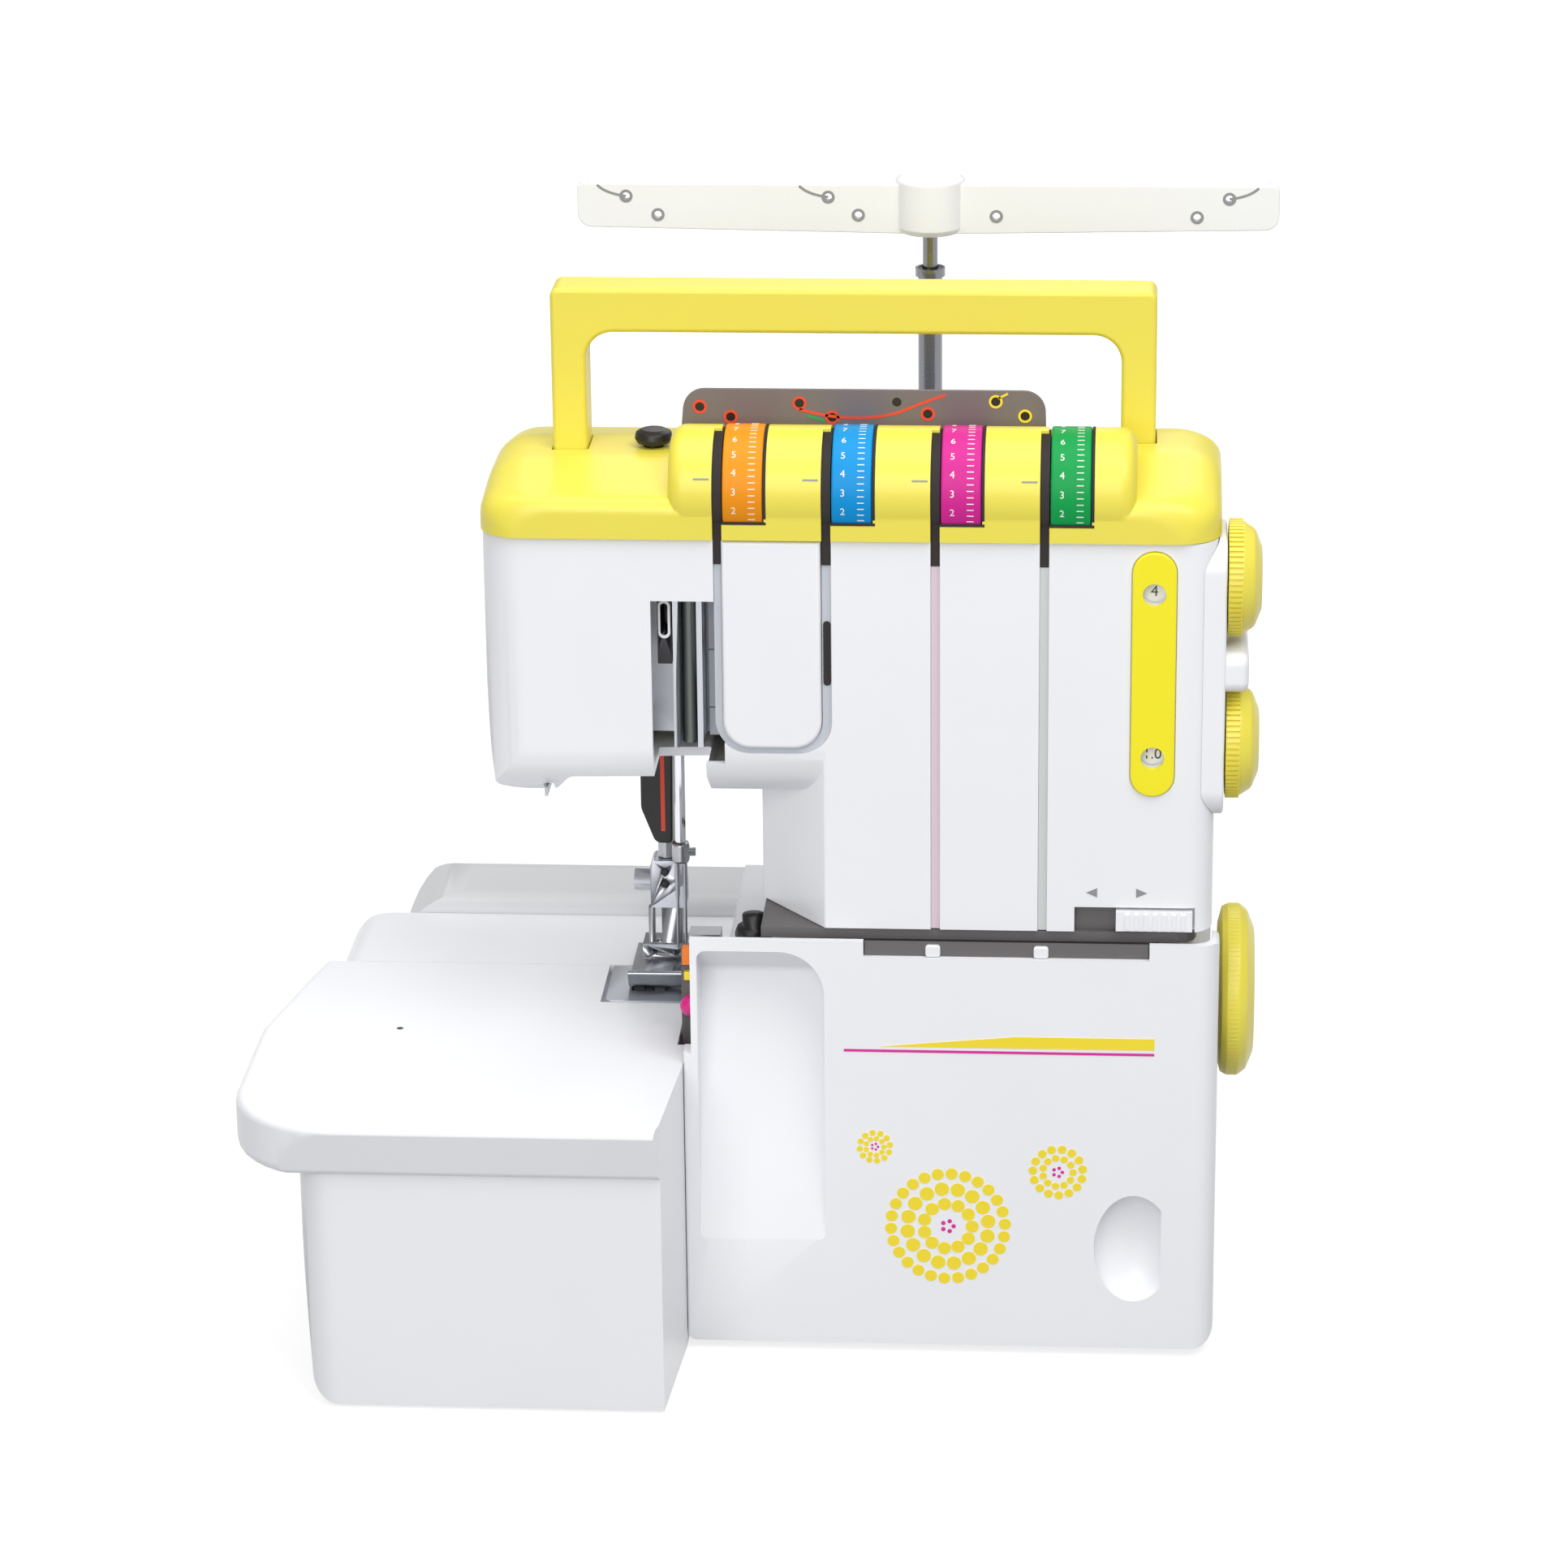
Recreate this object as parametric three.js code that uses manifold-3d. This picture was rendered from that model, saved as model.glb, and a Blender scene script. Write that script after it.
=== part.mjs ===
// Home serger overlock machine with four threads, in millimetres.
// X points right, Y back (the front faces -Y) and Z up; the origin lies on the table top it stands on.
import * as THREE from 'three';
import { mergeVertices } from 'three/addons/utils/BufferGeometryUtils.js';
import Module from 'manifold-3d';

const wasm = await Module();
wasm.setup();

// ---- Driving dimensions -------------------------------------------------------------------------
const gap = 0.3; // clearance between neighbouring pieces
const wall = 2.5; // wall of the moulded covers
const casingWall = 3; // wall of the head and column casing

// Heights above the table top
const footHeight = 5; // rubber feet
const plateThickness = 3; // base plate
const bedTop = 102; // sewing surface
const baseTop = 145; // top of the lower casing
const deckThickness = 3.5; // dark thread deck between lower casing and column
const headBottom = 193.4; // underside of the head
const casingTop = 280; // joint between casing and top cover
const coverTop = casingTop + 21.5; // flat ridge of the top cover

// Head and column casing
const bodyLeft = -87.6;
const bodyRight = 147;
const bodyFront = -83;
const bodyBack = 48;
const headBack = 29.6; // the head is less deep than the base
const columnLeft = 0; // left side of the column
const chamferRight = 22; // where the column's chamfered corner meets the front
const chamferDepth = 28; // depth of that chamfer
const partingY = -18; // joint between front and rear casing

// Tension unit: four dials on one shaft
const dialPitch = 34.5;
const firstSlitX = -11.3;
const dialCount = 4;
const slitWidth = 3;
const dialRadius = 19.5;
const dialWidth = 12.8;
const dialAxisY = -66;
const dialAxisZ = casingTop + 13.3;
const dialSlotBottom = casingTop + 6.4; // lower edge of the openings over the dials
const dialSlotBack = dialAxisY + dialRadius + 0.3; // and their rear edge
const guidePlateBack = dialAxisY + dialRadius - 0.8;
const regulatorX = -35; // presser foot pressure regulator
const regulatorY = -39;
const tensionShaftRadius = 3;
const housingLeft = -27; // convex housing of the dials
const housingRight = 121;

// Carrying handle
const handleLeft = -67.5;
const handleRight = 126.8;
const handleLeg = 11.2; // width of a leg
const handleFront = -42;
const handleDepth = 17;
const handleTop = coverTop + 49.5;
const handleBar = 14.5; // height of the grip bar
const handleFootZ = casingTop - 18; // lower end of the legs inside the head

// Looper cover
const looperLeft = -24.6;
const looperRight = 149.6; // stands a little proud of the casing
const looperNotchRight = -22; // cut-out beside the knives at the upper left
const looperNotchFoot = 106;
const looperFront = -87;
const looperBottom = 3;
const looperTop = 146;
const recessLeft = looperNotchRight + 2.2; // cloth recess in its face
const recessRight = 21.7;
const recessFoot = 40;
const recessTop = looperTop - 4;
const recessDeepest = recessTop - 11;
const recessDepth = 15;
const scoopX = 123; // thumb hold
const scoopZ = 39;
const scoopSize = [13, 8.5, 19];
const looperCorner = 15; // radius of its right front corner
const hingeY = -78; // hinge rod of the looper cover
const hingeZ = 14;
const hingeRadius = 2;

// Side cover with the sewing table
const tableLeft = -168;
const tableRight = -25;
const tableRightBehind = -28; // set back beside the looper guides
const tableTaper = 4; // how far the right side draws in towards the front
const tableFront = -143;
const tableThickness = 19;
const lipLean = 3.5; // the front face of the table leans inwards by this much
const sideBoxLeft = -146;
const sideBoxFront = -138;
const sideBoxBottom = 1;

// Lower casing, bed and motor cover
const baseLeft = -14;
const baseFront = -62;
const sillRight = 3.6; // the low left part of the lower casing ends here
const sillTop = 122;
const sillFront = -68;
const bedLeft = -151;
const bedFront = 1;
const motorCoverLeft = -138;
const motorCoverRight = 120;
const motorCoverBack = 100;
const motorCoverTop = 107.6;
const motorVents = 7; // air slots at the back
const baseVents = 6; // and under the motor

// Needle, foot and knives
const needleX = -31;
const needleY = -12;
const needleBarRadius = 1.9;
const needleSpacing = 2.6;
const presserX = -37.2;
const presserY = 4;
const presserRadius = 3;
const lifterX = -41; // pivot of the presser lifter
const lifterZ = 190;

// Drive
const shaftY = -40;
const shaftZ = 113;
const shaftRadius = 4;
const wheelRadius = 28.5; // handwheel
const motorY = 72;
const motorZ = 58;
const motorRadius = 22;
const bigPulley = 15;
const smallPulley = 5;
const beltLeft = 63;
const beltWidth = 10;
const beltThickness = 1.2;

// Side dials and their windows
const sideDialY = -64;
const stitchDialZ = casingTop - 16.5;
const feedDialZ = casingTop - 71;
const sideDialRadius = 19;
const drumRadius = 15.5;
const windowX = 127;
const windowStripWidth = 14;
const windowRadius = 3.75;

// Spools and antenna
const antennaX = 48.5;
const antennaY = 108;
const antennaTop = 352; // upper edge of the guide bar
const guideBarHeight = 17.5;
const guideBarLeft = -73.5;
const guideBarRight = 168.7;
const trayTop = 48;
const trayBack = 146;
const spoolInner = 31.8; // distance of the inner spool pins from the antenna
const spoolOuter = 95.5;
const spoolPinY = 124.5;

// ---- Colours ------------------------------------------------------------------------------------
const paint = (color, roughness, metalness = 0) =>
  new THREE.MeshStandardMaterial({ color, roughness, metalness });
const white = paint(0xf4f5f8, 0.35);
const greyWhite = paint(0xd9dbdd, 0.45);
const yellow = paint(0xf0df52, 0.35);
const dark = paint(0x55514f, 0.6);
const black = paint(0x1d1c1e, 0.5);
const steel = paint(0xb9bcc2, 0.3, 1);
const chrome = paint(0xe3e4e8, 0.12, 1);
const cast = paint(0x9a9da1, 0.6, 0.6);
const rubber = paint(0x2a2a2a, 0.9);
const threadColours = [
  paint(0xf99b20, 0.35), paint(0x129fe0, 0.35), paint(0xdf35a0, 0.35), paint(0x0ca64f, 0.35),
];

// ---- Shape helpers ------------------------------------------------------------------------------
const object = new THREE.Group();
object.name = 'serger_overlock_machine';

// A closed three.js geometry as a manifold solid.
function solid(geometry) {
  const bare = geometry.index ? geometry.toNonIndexed() : geometry.clone();
  bare.deleteAttribute('normal');
  bare.deleteAttribute('uv');
  const merged = mergeVertices(bare, 1e-4);
  const corners = merged.index.array;
  const kept = [];
  for (let i = 0; i < corners.length; i += 3) {
    const [a, b, c] = [corners[i], corners[i + 1], corners[i + 2]];
    if (a !== b && b !== c && c !== a) kept.push(a, b, c);
  }
  const build = (triVerts) =>
    new wasm.Manifold(
      new wasm.Mesh(
        {
          numProp: 3,
          vertProperties: merged.attributes.position.array,
          triVerts: new Uint32Array(triVerts),
        },
      ),
    );
  const made = build(kept);
  return made.volume() >= 0 ? made : build(kept.reverse());
}

// Adds a solid to the object as a named mesh.
function add(name, made, material) {
  const mesh = made.getMesh();
  const geometry = new THREE.BufferGeometry();
  geometry.setAttribute('position', new THREE.BufferAttribute(mesh.vertProperties, 3));
  geometry.setIndex(new THREE.BufferAttribute(mesh.triVerts, 1));
  geometry.computeVertexNormals();
  const piece = new THREE.Mesh(geometry, material);
  piece.name = name;
  object.add(piece);
}

// An outline from corners [u, v, radius], each corner rounded by an arc of its radius.
function outline(corners, arcSteps = 3) {
  const points = [];
  corners.forEach(([u, v, radius = 0], i) => {
    const here = new THREE.Vector2(u, v);
    const before = corners[(i + corners.length - 1) % corners.length];
    const after = corners[(i + 1) % corners.length];
    const back = new THREE.Vector2(before[0], before[1]).sub(here).normalize();
    const ahead = new THREE.Vector2(after[0], after[1]).sub(here).normalize();
    const half = Math.acos(THREE.MathUtils.clamp(back.dot(ahead), -1, 1)) / 2;
    if (radius < 1e-6 || Math.PI / 2 - half < 1e-3) {
      points.push(here);
      return;
    }
    const room = 0.49 * Math.min(here.distanceTo(new THREE.Vector2(before[0], before[1])),
      here.distanceTo(new THREE.Vector2(after[0], after[1])));
    const reach = Math.min(radius / Math.tan(half), room);
    const arcRadius = reach * Math.tan(half);
    const centre = back.clone().add(ahead).normalize().multiplyScalar(arcRadius / Math.sin(half)).add(here);
    const start = back.clone().multiplyScalar(reach).add(here).sub(centre);
    const end = ahead.clone().multiplyScalar(reach).add(here).sub(centre);
    const turn = Math.atan2(start.x * end.y - start.y * end.x, start.dot(end));
    const steps = Math.max(1, Math.ceil((Math.abs(turn) / (Math.PI / 2)) * arcSteps));
    for (let k = 0; k <= steps; k += 1) {
      points.push(start.clone().rotateAround(new THREE.Vector2(), (turn * k) / steps).add(centre));
    }
  });
  return new THREE.Shape(points);
}

const rectangle = (u0, u1, v0, v1, radius = 0) =>
  outline([[u0, v0, radius], [u1, v0, radius], [u1, v1, radius], [u0, v1, radius]]);

// Extrusions of a shape: along Z from an XY shape, along Y from an XZ shape, along X from a YZ shape.
function extruded(shape, length, bevel) {
  const edge = bevel
    ? { bevelEnabled: true, bevelSize: bevel, bevelThickness: bevel, bevelOffset: -bevel, bevelSegments: 3 }
    : { bevelEnabled: false };
  const geometry = new THREE.ExtrudeGeometry(shape, { depth: length - 2 * (bevel || 0), ...edge });
  return geometry.translate(0, 0, bevel || 0);
}
const alongZ = (shape, z0, z1, bevel = 0) => solid(extruded(shape, z1 - z0, bevel).translate(0, 0, z0));
const alongY = (shape, y0, y1, bevel = 0) =>
  solid(extruded(shape, y1 - y0, bevel).rotateX(Math.PI / 2).translate(0, y1, 0));
const toX = new THREE.Matrix4().set(0, 0, 1, 0, 1, 0, 0, 0, 0, 1, 0, 0, 0, 0, 0, 1);
const alongX = (shape, x0, x1, bevel = 0) =>
  solid(extruded(shape, x1 - x0, bevel).applyMatrix4(toX).translate(x0, 0, 0));

const box = (x0, x1, y0, y1, z0, z1) => {
  const geometry = new THREE.BoxGeometry(x1 - x0, y1 - y0, z1 - z0);
  return solid(geometry.translate((x0 + x1) / 2, (y0 + y1) / 2, (z0 + z1) / 2));
};

// A revolved solid about a line along the named axis; the profile lists [radius, position].
function turned(axis, place, profile, steps = 32) {
  const points = profile.map(([r, s]) => new THREE.Vector2(r, s));
  const onAxis = points[0].x < 1e-9;
  if (!onAxis) points.push(points[0].clone());
  const geometry = new THREE.LatheGeometry(points, steps);
  if (axis === 'z') geometry.rotateX(Math.PI / 2).translate(place[0], place[1], 0);
  if (axis === 'x') geometry.rotateZ(-Math.PI / 2).translate(0, place[0], place[1]);
  if (axis === 'y') geometry.translate(place[0], 0, place[1]);
  return solid(geometry);
}
const rod = (axis, place, radius, from, to, steps = 16) =>
  turned(axis, place, [[0, from], [radius, from], [radius, to], [0, to]], steps);
const tube = (axis, place, inner, outer, from, to, steps = 20) =>
  turned(axis, place, [[inner, from], [outer, from], [outer, to], [inner, to]], steps);

const joined = (first, ...others) => others.reduce((sum, next) => sum.add(next), first);
const cut = (first, ...others) => others.reduce((rest, next) => rest.subtract(next), first);

// ---- Derived places -----------------------------------------------------------------------------
const baseZ = footHeight + plateThickness + gap; // where the lower casings stand
const deckZ = baseTop + gap;
const columnZ = deckZ + deckThickness + gap;
const slitX = Array.from({ length: dialCount }, (_, i) => firstSlitX + i * dialPitch);
const dialX = slitX.map((x) => x + slitWidth / 2 + gap);
const handleBack = handleFront + handleDepth;
const needleXs = [needleX - needleSpacing / 2, needleX + needleSpacing / 2];

// ---- Base, bed and lower casing -----------------------------------------------------------------
function addBase() {
  const plan = outline([
    [baseLeft + 1, baseFront + 2, 4], [bodyRight - 4, baseFront + 2, 6],
    [bodyRight - 4, motorCoverBack - 2, 10], [motorCoverLeft + 2, motorCoverBack - 2, 10],
    [motorCoverLeft + 2, bedFront + 2, 4], [baseLeft + 1, bedFront + 2],
  ]);
  let plate = alongZ(plan, footHeight, footHeight + plateThickness);
  for (let i = 0; i < baseVents; i += 1) {
    const x = -70 + i * 12;
    plate = cut(plate, box(x, x + 6, 56, 86, footHeight - 1, footHeight + plateThickness + 1));
  }
  add('base_plate', plate, greyWhite);

  const places = [
    [baseLeft + 10, baseFront + 11], [bodyRight - 14, baseFront + 11],
    [motorCoverLeft + 14, motorCoverBack - 14], [bodyRight - 14, motorCoverBack - 14],
  ];
  places.forEach(([x, y], i) => {
    const profile = [[0, 0], [7, 0], [9, footHeight - 1], [9, footHeight - gap], [0, footHeight - gap]];
    add(`rubber_foot_${i + 1}`, turned('z', [x, y], profile, 12), rubber);
  });
}

// Lower casing: a tall block under the column and a low sill left of it, hollow and open below.
const lowerCasing = (inset) => {
  const right = bodyRight - inset;
  const top = inset ? baseTop - wall : baseTop;
  const bottom = inset ? baseZ - 1 : baseZ;
  const corner = Math.max(6 - inset, 1);
  const main = alongZ(outline([
    [sillRight + inset, baseFront + inset, 1], [right - 3.5, baseFront + inset, corner],
    [right - 3.5, baseFront + 8 + inset], [right, baseFront + 8 + inset],
    [right, bodyBack - inset, corner], [sillRight + inset, bodyBack - inset],
  ]), bottom, top);
  const sillPlan = rectangle(
    baseLeft + inset, sillRight + 1 + inset * 2, sillFront + inset, bodyBack - inset, 0.6,
  );
  const sill = alongZ(sillPlan, bottom, sillTop - inset);
  return joined(main, sill);
};

function addLowerCasing() {
  let casing = cut(lowerCasing(0), lowerCasing(wall));
  casing = cut(
    casing,
    box(8, 138, -46, 42, baseTop - 6, baseTop + 1), // opening up into the column
    box(baseLeft - 1, baseLeft + 4, 3, 30, 0, bedTop - 4), // frame passes left into the bed
    box(beltLeft - 5, beltLeft + beltWidth + 5, bodyBack - 5, bodyBack + 5, 30, 115), // belt window
    rod('x', [shaftY, shaftZ], shaftRadius + 0.6, bodyRight - 10, bodyRight + 1),
    box(bodyRight - 6, bodyRight + 1, 17.7, 40.3, 22.7, 68.3), // power inlet and switch
  );
  const lug = (x) => joined(
    box(x, x + 4, hingeY, baseFront + 1, hingeZ - 5, hingeZ + 5),
    rod('x', [hingeY, hingeZ], 5, x, x + 4, 12),
  ).subtract(rod('x', [hingeY, hingeZ], hingeRadius + gap, x - 1, x + 5));
  const guide = cut(box(-23.9, baseLeft + 1, -28, -16, 80, 90), box(-20.4, -16.6, -26.4, -17.6, 79, 91));
  const sillLug = box(-6, -2, sillFront - 1, baseFront, hingeZ - 5, hingeZ + 5);
  casing = joined(
    casing,
    cut(joined(lug(-6), sillLug), rod('x', [hingeY, hingeZ], hingeRadius + gap, -7, 0)),
    lug(126),
    guide,
  );
  add('lower_casing', casing, white);

  // Dark deck under the column with the thread slot's liner and the backing of the hem slider.
  const deck = alongZ(
    outline([[1, -82], [142, -82, 6], [142, -50], [1, -50]]),
    deckZ,
    deckZ + deckThickness,
  );
  add('thread_deck', joined(
    deck,
    box(32, 130, -80.5, -78, 131, deckZ + 1),
    box(101.5, 138.5, -79.6, -77.5, deckZ + 1, 158.5),
  ), dark);
}

function addBed() {
  const back = bodyBack;
  const right = baseLeft - gap;
  const shape = (inset) => outline([
    [bedLeft + inset, bedFront + inset, 3], [right + inset, bedFront + inset],
    [right + inset, back - inset], [bedLeft + inset, back - inset, 14 - inset],
  ]);
  const edge = (inset) => alongY(outline([
    [bedLeft + inset, baseZ - inset], [right + inset, baseZ - inset], [right + inset, bedTop - inset],
    [bedLeft + inset, bedTop - inset, 8 - inset],
  ]), -10, back + 10);
  const outer = alongZ(shape(0), baseZ, bedTop).intersect(edge(0));
  const inner = alongZ(shape(wall), baseZ - 1, bedTop - wall).intersect(edge(wall));
  const ledge = joined(box(-140.8, -62, -4, bedFront + 1, 76, 79.7), box(-140.8, -62, -4, -2.6, 76, 81.5));
  const bed = cut(
    joined(cut(outer, inner), ledge),
    box(-60, baseLeft, bedFront - 1, bedFront + wall + 1, 20, bedTop - wall - 1),
  );
  add('free_arm_bed', bed, white);
}

function addMotorCover() {
  const front = bodyBack + gap;
  const shell = (inset) => {
    const [left, right] = [motorCoverLeft + inset, motorCoverRight - inset];
    const [back, top] = [motorCoverBack - inset, motorCoverTop - inset];
    const side = outline([
      [front - inset, baseZ - inset], [back, baseZ - inset], [back, top, 20 - inset],
      [front - inset, top, inset ? 0 : 8],
    ]);
    const plan = outline([
      [left, front - 1 - inset], [right, front - 1 - inset], [right, back, 12 - inset], [left, back, 24 - inset],
    ]);
    const face = outline([[left, 0], [right, 0], [right, top, 14 - inset], [left, top, 24 - inset]]);
    return alongX(side, left, right).intersect(alongZ(plan, 0, 200)).intersect(alongY(face, 0, 200));
  };
  const lip = shell(0).intersect(box(-200, baseLeft - gap, front, front + wall, 90, motorCoverTop));
  let cover = joined(cut(shell(0), shell(wall)), lip);
  for (let i = 0; i < motorVents; i += 1) {
    const x = -34 + i * 10;
    cover = cut(cover, box(x, x + 3, motorCoverBack - 6, motorCoverBack + 1, 66, 92));
  }
  add('motor_cover', cover, greyWhite);
}

// ---- Head and column ----------------------------------------------------------------------------
// The head with the column below it; inset shrinks it evenly for the hollow inside.
function bodySolid(inset) {
  const [left, right, front, back] = [
    bodyLeft + inset, bodyRight - inset, bodyFront + inset, headBack - inset,
  ];
  const over = inset ? 1 : 0;
  const chinDepth = 3.4; // the head's left end hangs lower, beside the presser lifter
  const low = headBottom + inset;
  const chin = low - chinDepth;
  const top = casingTop + 5;
  const plan = outline([
    [left, front, 14 - inset], [right, front, 9 - inset], [right, back, 8 - inset], [left, back, 14 - inset],
  ], 4);
  const side = outline([[front, top], [front, chin, 20 - inset], [back, chin, 8 - inset], [back, top]], 4);
  const face = outline([
    [left, top], [left, headBottom + 40, 60], [left + 1.4, headBottom + 14, 30], [left + 3, low + 1.2, 4],
    [left + 15.4, chin, 2], [left + 20.4, chin, 2], [left + 27, low + 5.4, 4],
    [baseLeft - 2, low + 6.4, 1], [baseLeft - 1, low], [right + 5, low], [right + 5, top],
  ], 4);
  const head = alongZ(plan, headBottom - 10, casingTop + over)
    .intersect(alongX(side, left - 5, right + 5))
    .intersect(alongY(face, front - 5, back + 5));
  const columnBottom = columnZ - over;
  const column = alongZ(outline([
    [chamferRight + inset * 0.4, front, 1], [right, front, 9 - inset], [right, back, 8 - inset],
    [columnLeft + inset, back, 3], [columnLeft + inset, bodyFront + chamferDepth + inset * 0.4, 2],
  ], 4), columnBottom, headBottom + 24);
  const sweep = 9;
  const fillet = alongY(outline([
    [columnLeft + inset + 2, headBottom + 1 + inset], [columnLeft - sweep + inset, headBottom + 1 + inset],
    [columnLeft - sweep + inset, headBottom + inset], [columnLeft + inset, headBottom + inset, sweep],
    [columnLeft + inset, headBottom - sweep - 1 + inset],
    [columnLeft + inset + 2, headBottom - sweep - 1 + inset],
  ], 4), bodyFront + chamferDepth + inset, back);
  return joined(head, column, fillet);
}

function addCasings() {
  const shell = cut(bodySolid(0), bodySolid(casingWall));
  const barOpening = box(-50, -16, -34, 14, headBottom - 4, headBottom + 16);
  const cutterNotch = box(-69.4, -66, -90, -58, headBottom - 6, headBottom + 2);
  const frontHalf = shell.intersect(box(-200, 200, -200, partingY, 0, 400));
  const grooves = slitX.slice(2).map((x) =>
    box(x - slitWidth / 2, x + slitWidth / 2, -90, bodyFront + 1.8, columnZ - 1, 272),
  );
  const slits = slitX.slice(2).map((x) =>
    box(x - slitWidth / 2, x + slitWidth / 2, -90, bodyFront + 5, 271, casingTop + 1),
  );
  const strip = alongY(
    rectangle(windowX - 7.3, windowX + 7.3, 195.7, 277.7, 7.2),
    bodyFront - 1,
    bodyFront + 1,
  );
  const windows = [stitchDialZ, feedDialZ].map((z) =>
    rod('y', [windowX, z], windowRadius, bodyFront - 1, bodyFront + 4),
  );
  const shafts = [stitchDialZ, feedDialZ].map((z) =>
    rod('x', [sideDialY, z], 3.4, bodyRight - 5, bodyRight + 1),
  );
  const dialRoom = dialX.map((x) =>
    rod('x', [dialAxisY, dialAxisZ], dialRadius + 0.7, x - gap, x + dialWidth + gap, 24));
  const lobeSeat = alongY(outline([
    [slitX[0] - 1.5, 208.5, 11], [slitX[1] + 1.5, 208.5, 11], [slitX[1] + 1.5, casingTop + 1],
    [slitX[0] - 1.5, casingTop + 1],
  ]), -90, -76);
  const front = cut(
    frontHalf,
    barOpening,
    cutterNotch,
    box(-33, -9.8, -90, -60, 204.6, 259.5), // needle bar window in the front
    box(-33, -16, -90, -60, headBottom - 4, 210),
    lobeSeat,
    ...grooves,
    ...slits,
    strip,
    ...windows,
    ...shafts,
    ...dialRoom,
    box(102.6, 141.4, -90, -79.7, columnZ - 1, 157.6), // hem slider window
  );
  add('front_casing', front, white);
  add('rear_casing', cut(shell.intersect(box(-200, 200, partingY + gap, 200, 0, 400)), barOpening), white);

  const lobe = outline(
    [[-10.2, 210.5, 9], [21.4, 210.5, 9], [21.4, casingTop - gap], [-10.2, casingTop - gap]],
  );
  add('thread_cover', cut(alongY(lobe, -84, -76, 1), dialRoom[0]), white);

  const pill = alongY(rectangle(windowX - 7, windowX + 7, 196, 277.4, 7), bodyFront - 1.2, bodyFront + 0.7);
  add(
    'window_strip',
    cut(pill, ...[stitchDialZ, feedDialZ].map((z) => rod('y', [windowX, z], windowRadius, -90, -80))),
    yellow,
  );

  const knob = box(116, 140.6, -84.6, -80, 150, 156.6);
  const ribs = Array.from({ length: 7 }, (_, i) => box(119 + i * 3, 120.4 + i * 3, -85.4, -84, 150.6, 156));
  add('rolled_hem_slider', joined(knob, ...ribs), white);

  const plate = joined(
    box(-37, -7.5, -59.7, -57.7, 208, 264),
    box(-37, -35, bodyFront + casingWall + gap, -58, 217, 264),
    box(-9.3, -7.5, -75.6, -58, 208, 264),
  );
  const strips = joined(
    box(-26.6, -17.2, -66, -59, 208, 258),
    box(-26.6, -24.8, -76, -62, 208, 258),
    box(-19, -17.2, -76, -62, 208, 258),
  );
  add('needle_bar_guard', joined(plate, strips), chrome);
  const eye = cut(
    box(-31.6, -27, -75, -60, 236, 258.5),
    alongY(rectangle(-30.6, -28.2, 246, 256, 1), -80, -64),
  );
  add('needle_thread_guide', eye, black);
  const blade = box(-68.6, -67.6, -80, -59, headBottom - 1.2, headBottom + 1.7);
  const tang = box(-68.6, -67.6, -65, -59, headBottom - 1.2, headBottom + 6);
  add('thread_cutter', joined(blade, tang), steel);
}

// ---- Top cover, tension unit and handle ---------------------------------------------------------
function coverSolid(inset) {
  const [left, right, front, back] = [
    bodyLeft - 0.4 + inset, bodyRight + 1 - inset, bodyFront - 1.5 + inset, headBack + 1 - inset,
  ];
  const bottom = inset ? casingTop - 2 : casingTop + gap;
  const body = alongX(outline([
    [front, bottom], [front, casingTop + 12 - inset, 6],
    [handleFront - 8, coverTop - inset, 10], [handleBack + 1, coverTop - inset, 16],
    [back, casingTop + 3.5 - inset, 1], [back, bottom],
  ], 4), left, right)
    .intersect(alongZ(outline([[left, front, 15 - inset], [right, front, 10 - inset],
      [right, back, 9 - inset],
      [left, back, 15 - inset]], 4), bottom, coverTop + 50))
    .intersect(alongY(outline([[left, bottom], [right, bottom], [right, coverTop - inset, 15 - inset],
      [left, coverTop - inset, 15 - inset]], 4), front - 5, back + 5));
  const round = 5;
  const r = dialRadius - 0.2 - inset;
  const a = housingLeft + inset;
  const b = housingRight - inset;
  const profile = [[0, a], [r - round, a]];
  for (let k = 1; k <= 3; k += 1) {
    const t = (k * Math.PI) / 6;
    profile.push([r - round + round * Math.sin(t), a + round * (1 - Math.cos(t))]);
  }
  for (let k = 0; k <= 3; k += 1) {
    const t = (k * Math.PI) / 6;
    profile.push([r - round + round * Math.cos(t), b - round * (1 - Math.sin(t))]);
  }
  profile.push([0, b]);
  const housing = turned('x', [dialAxisY, dialAxisZ], profile, 28).intersect(
    box(-200, 200, -200, 200, inset ? bottom : casingTop + 3, coverTop + 50),
  );
  return joined(body, housing);
}

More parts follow.
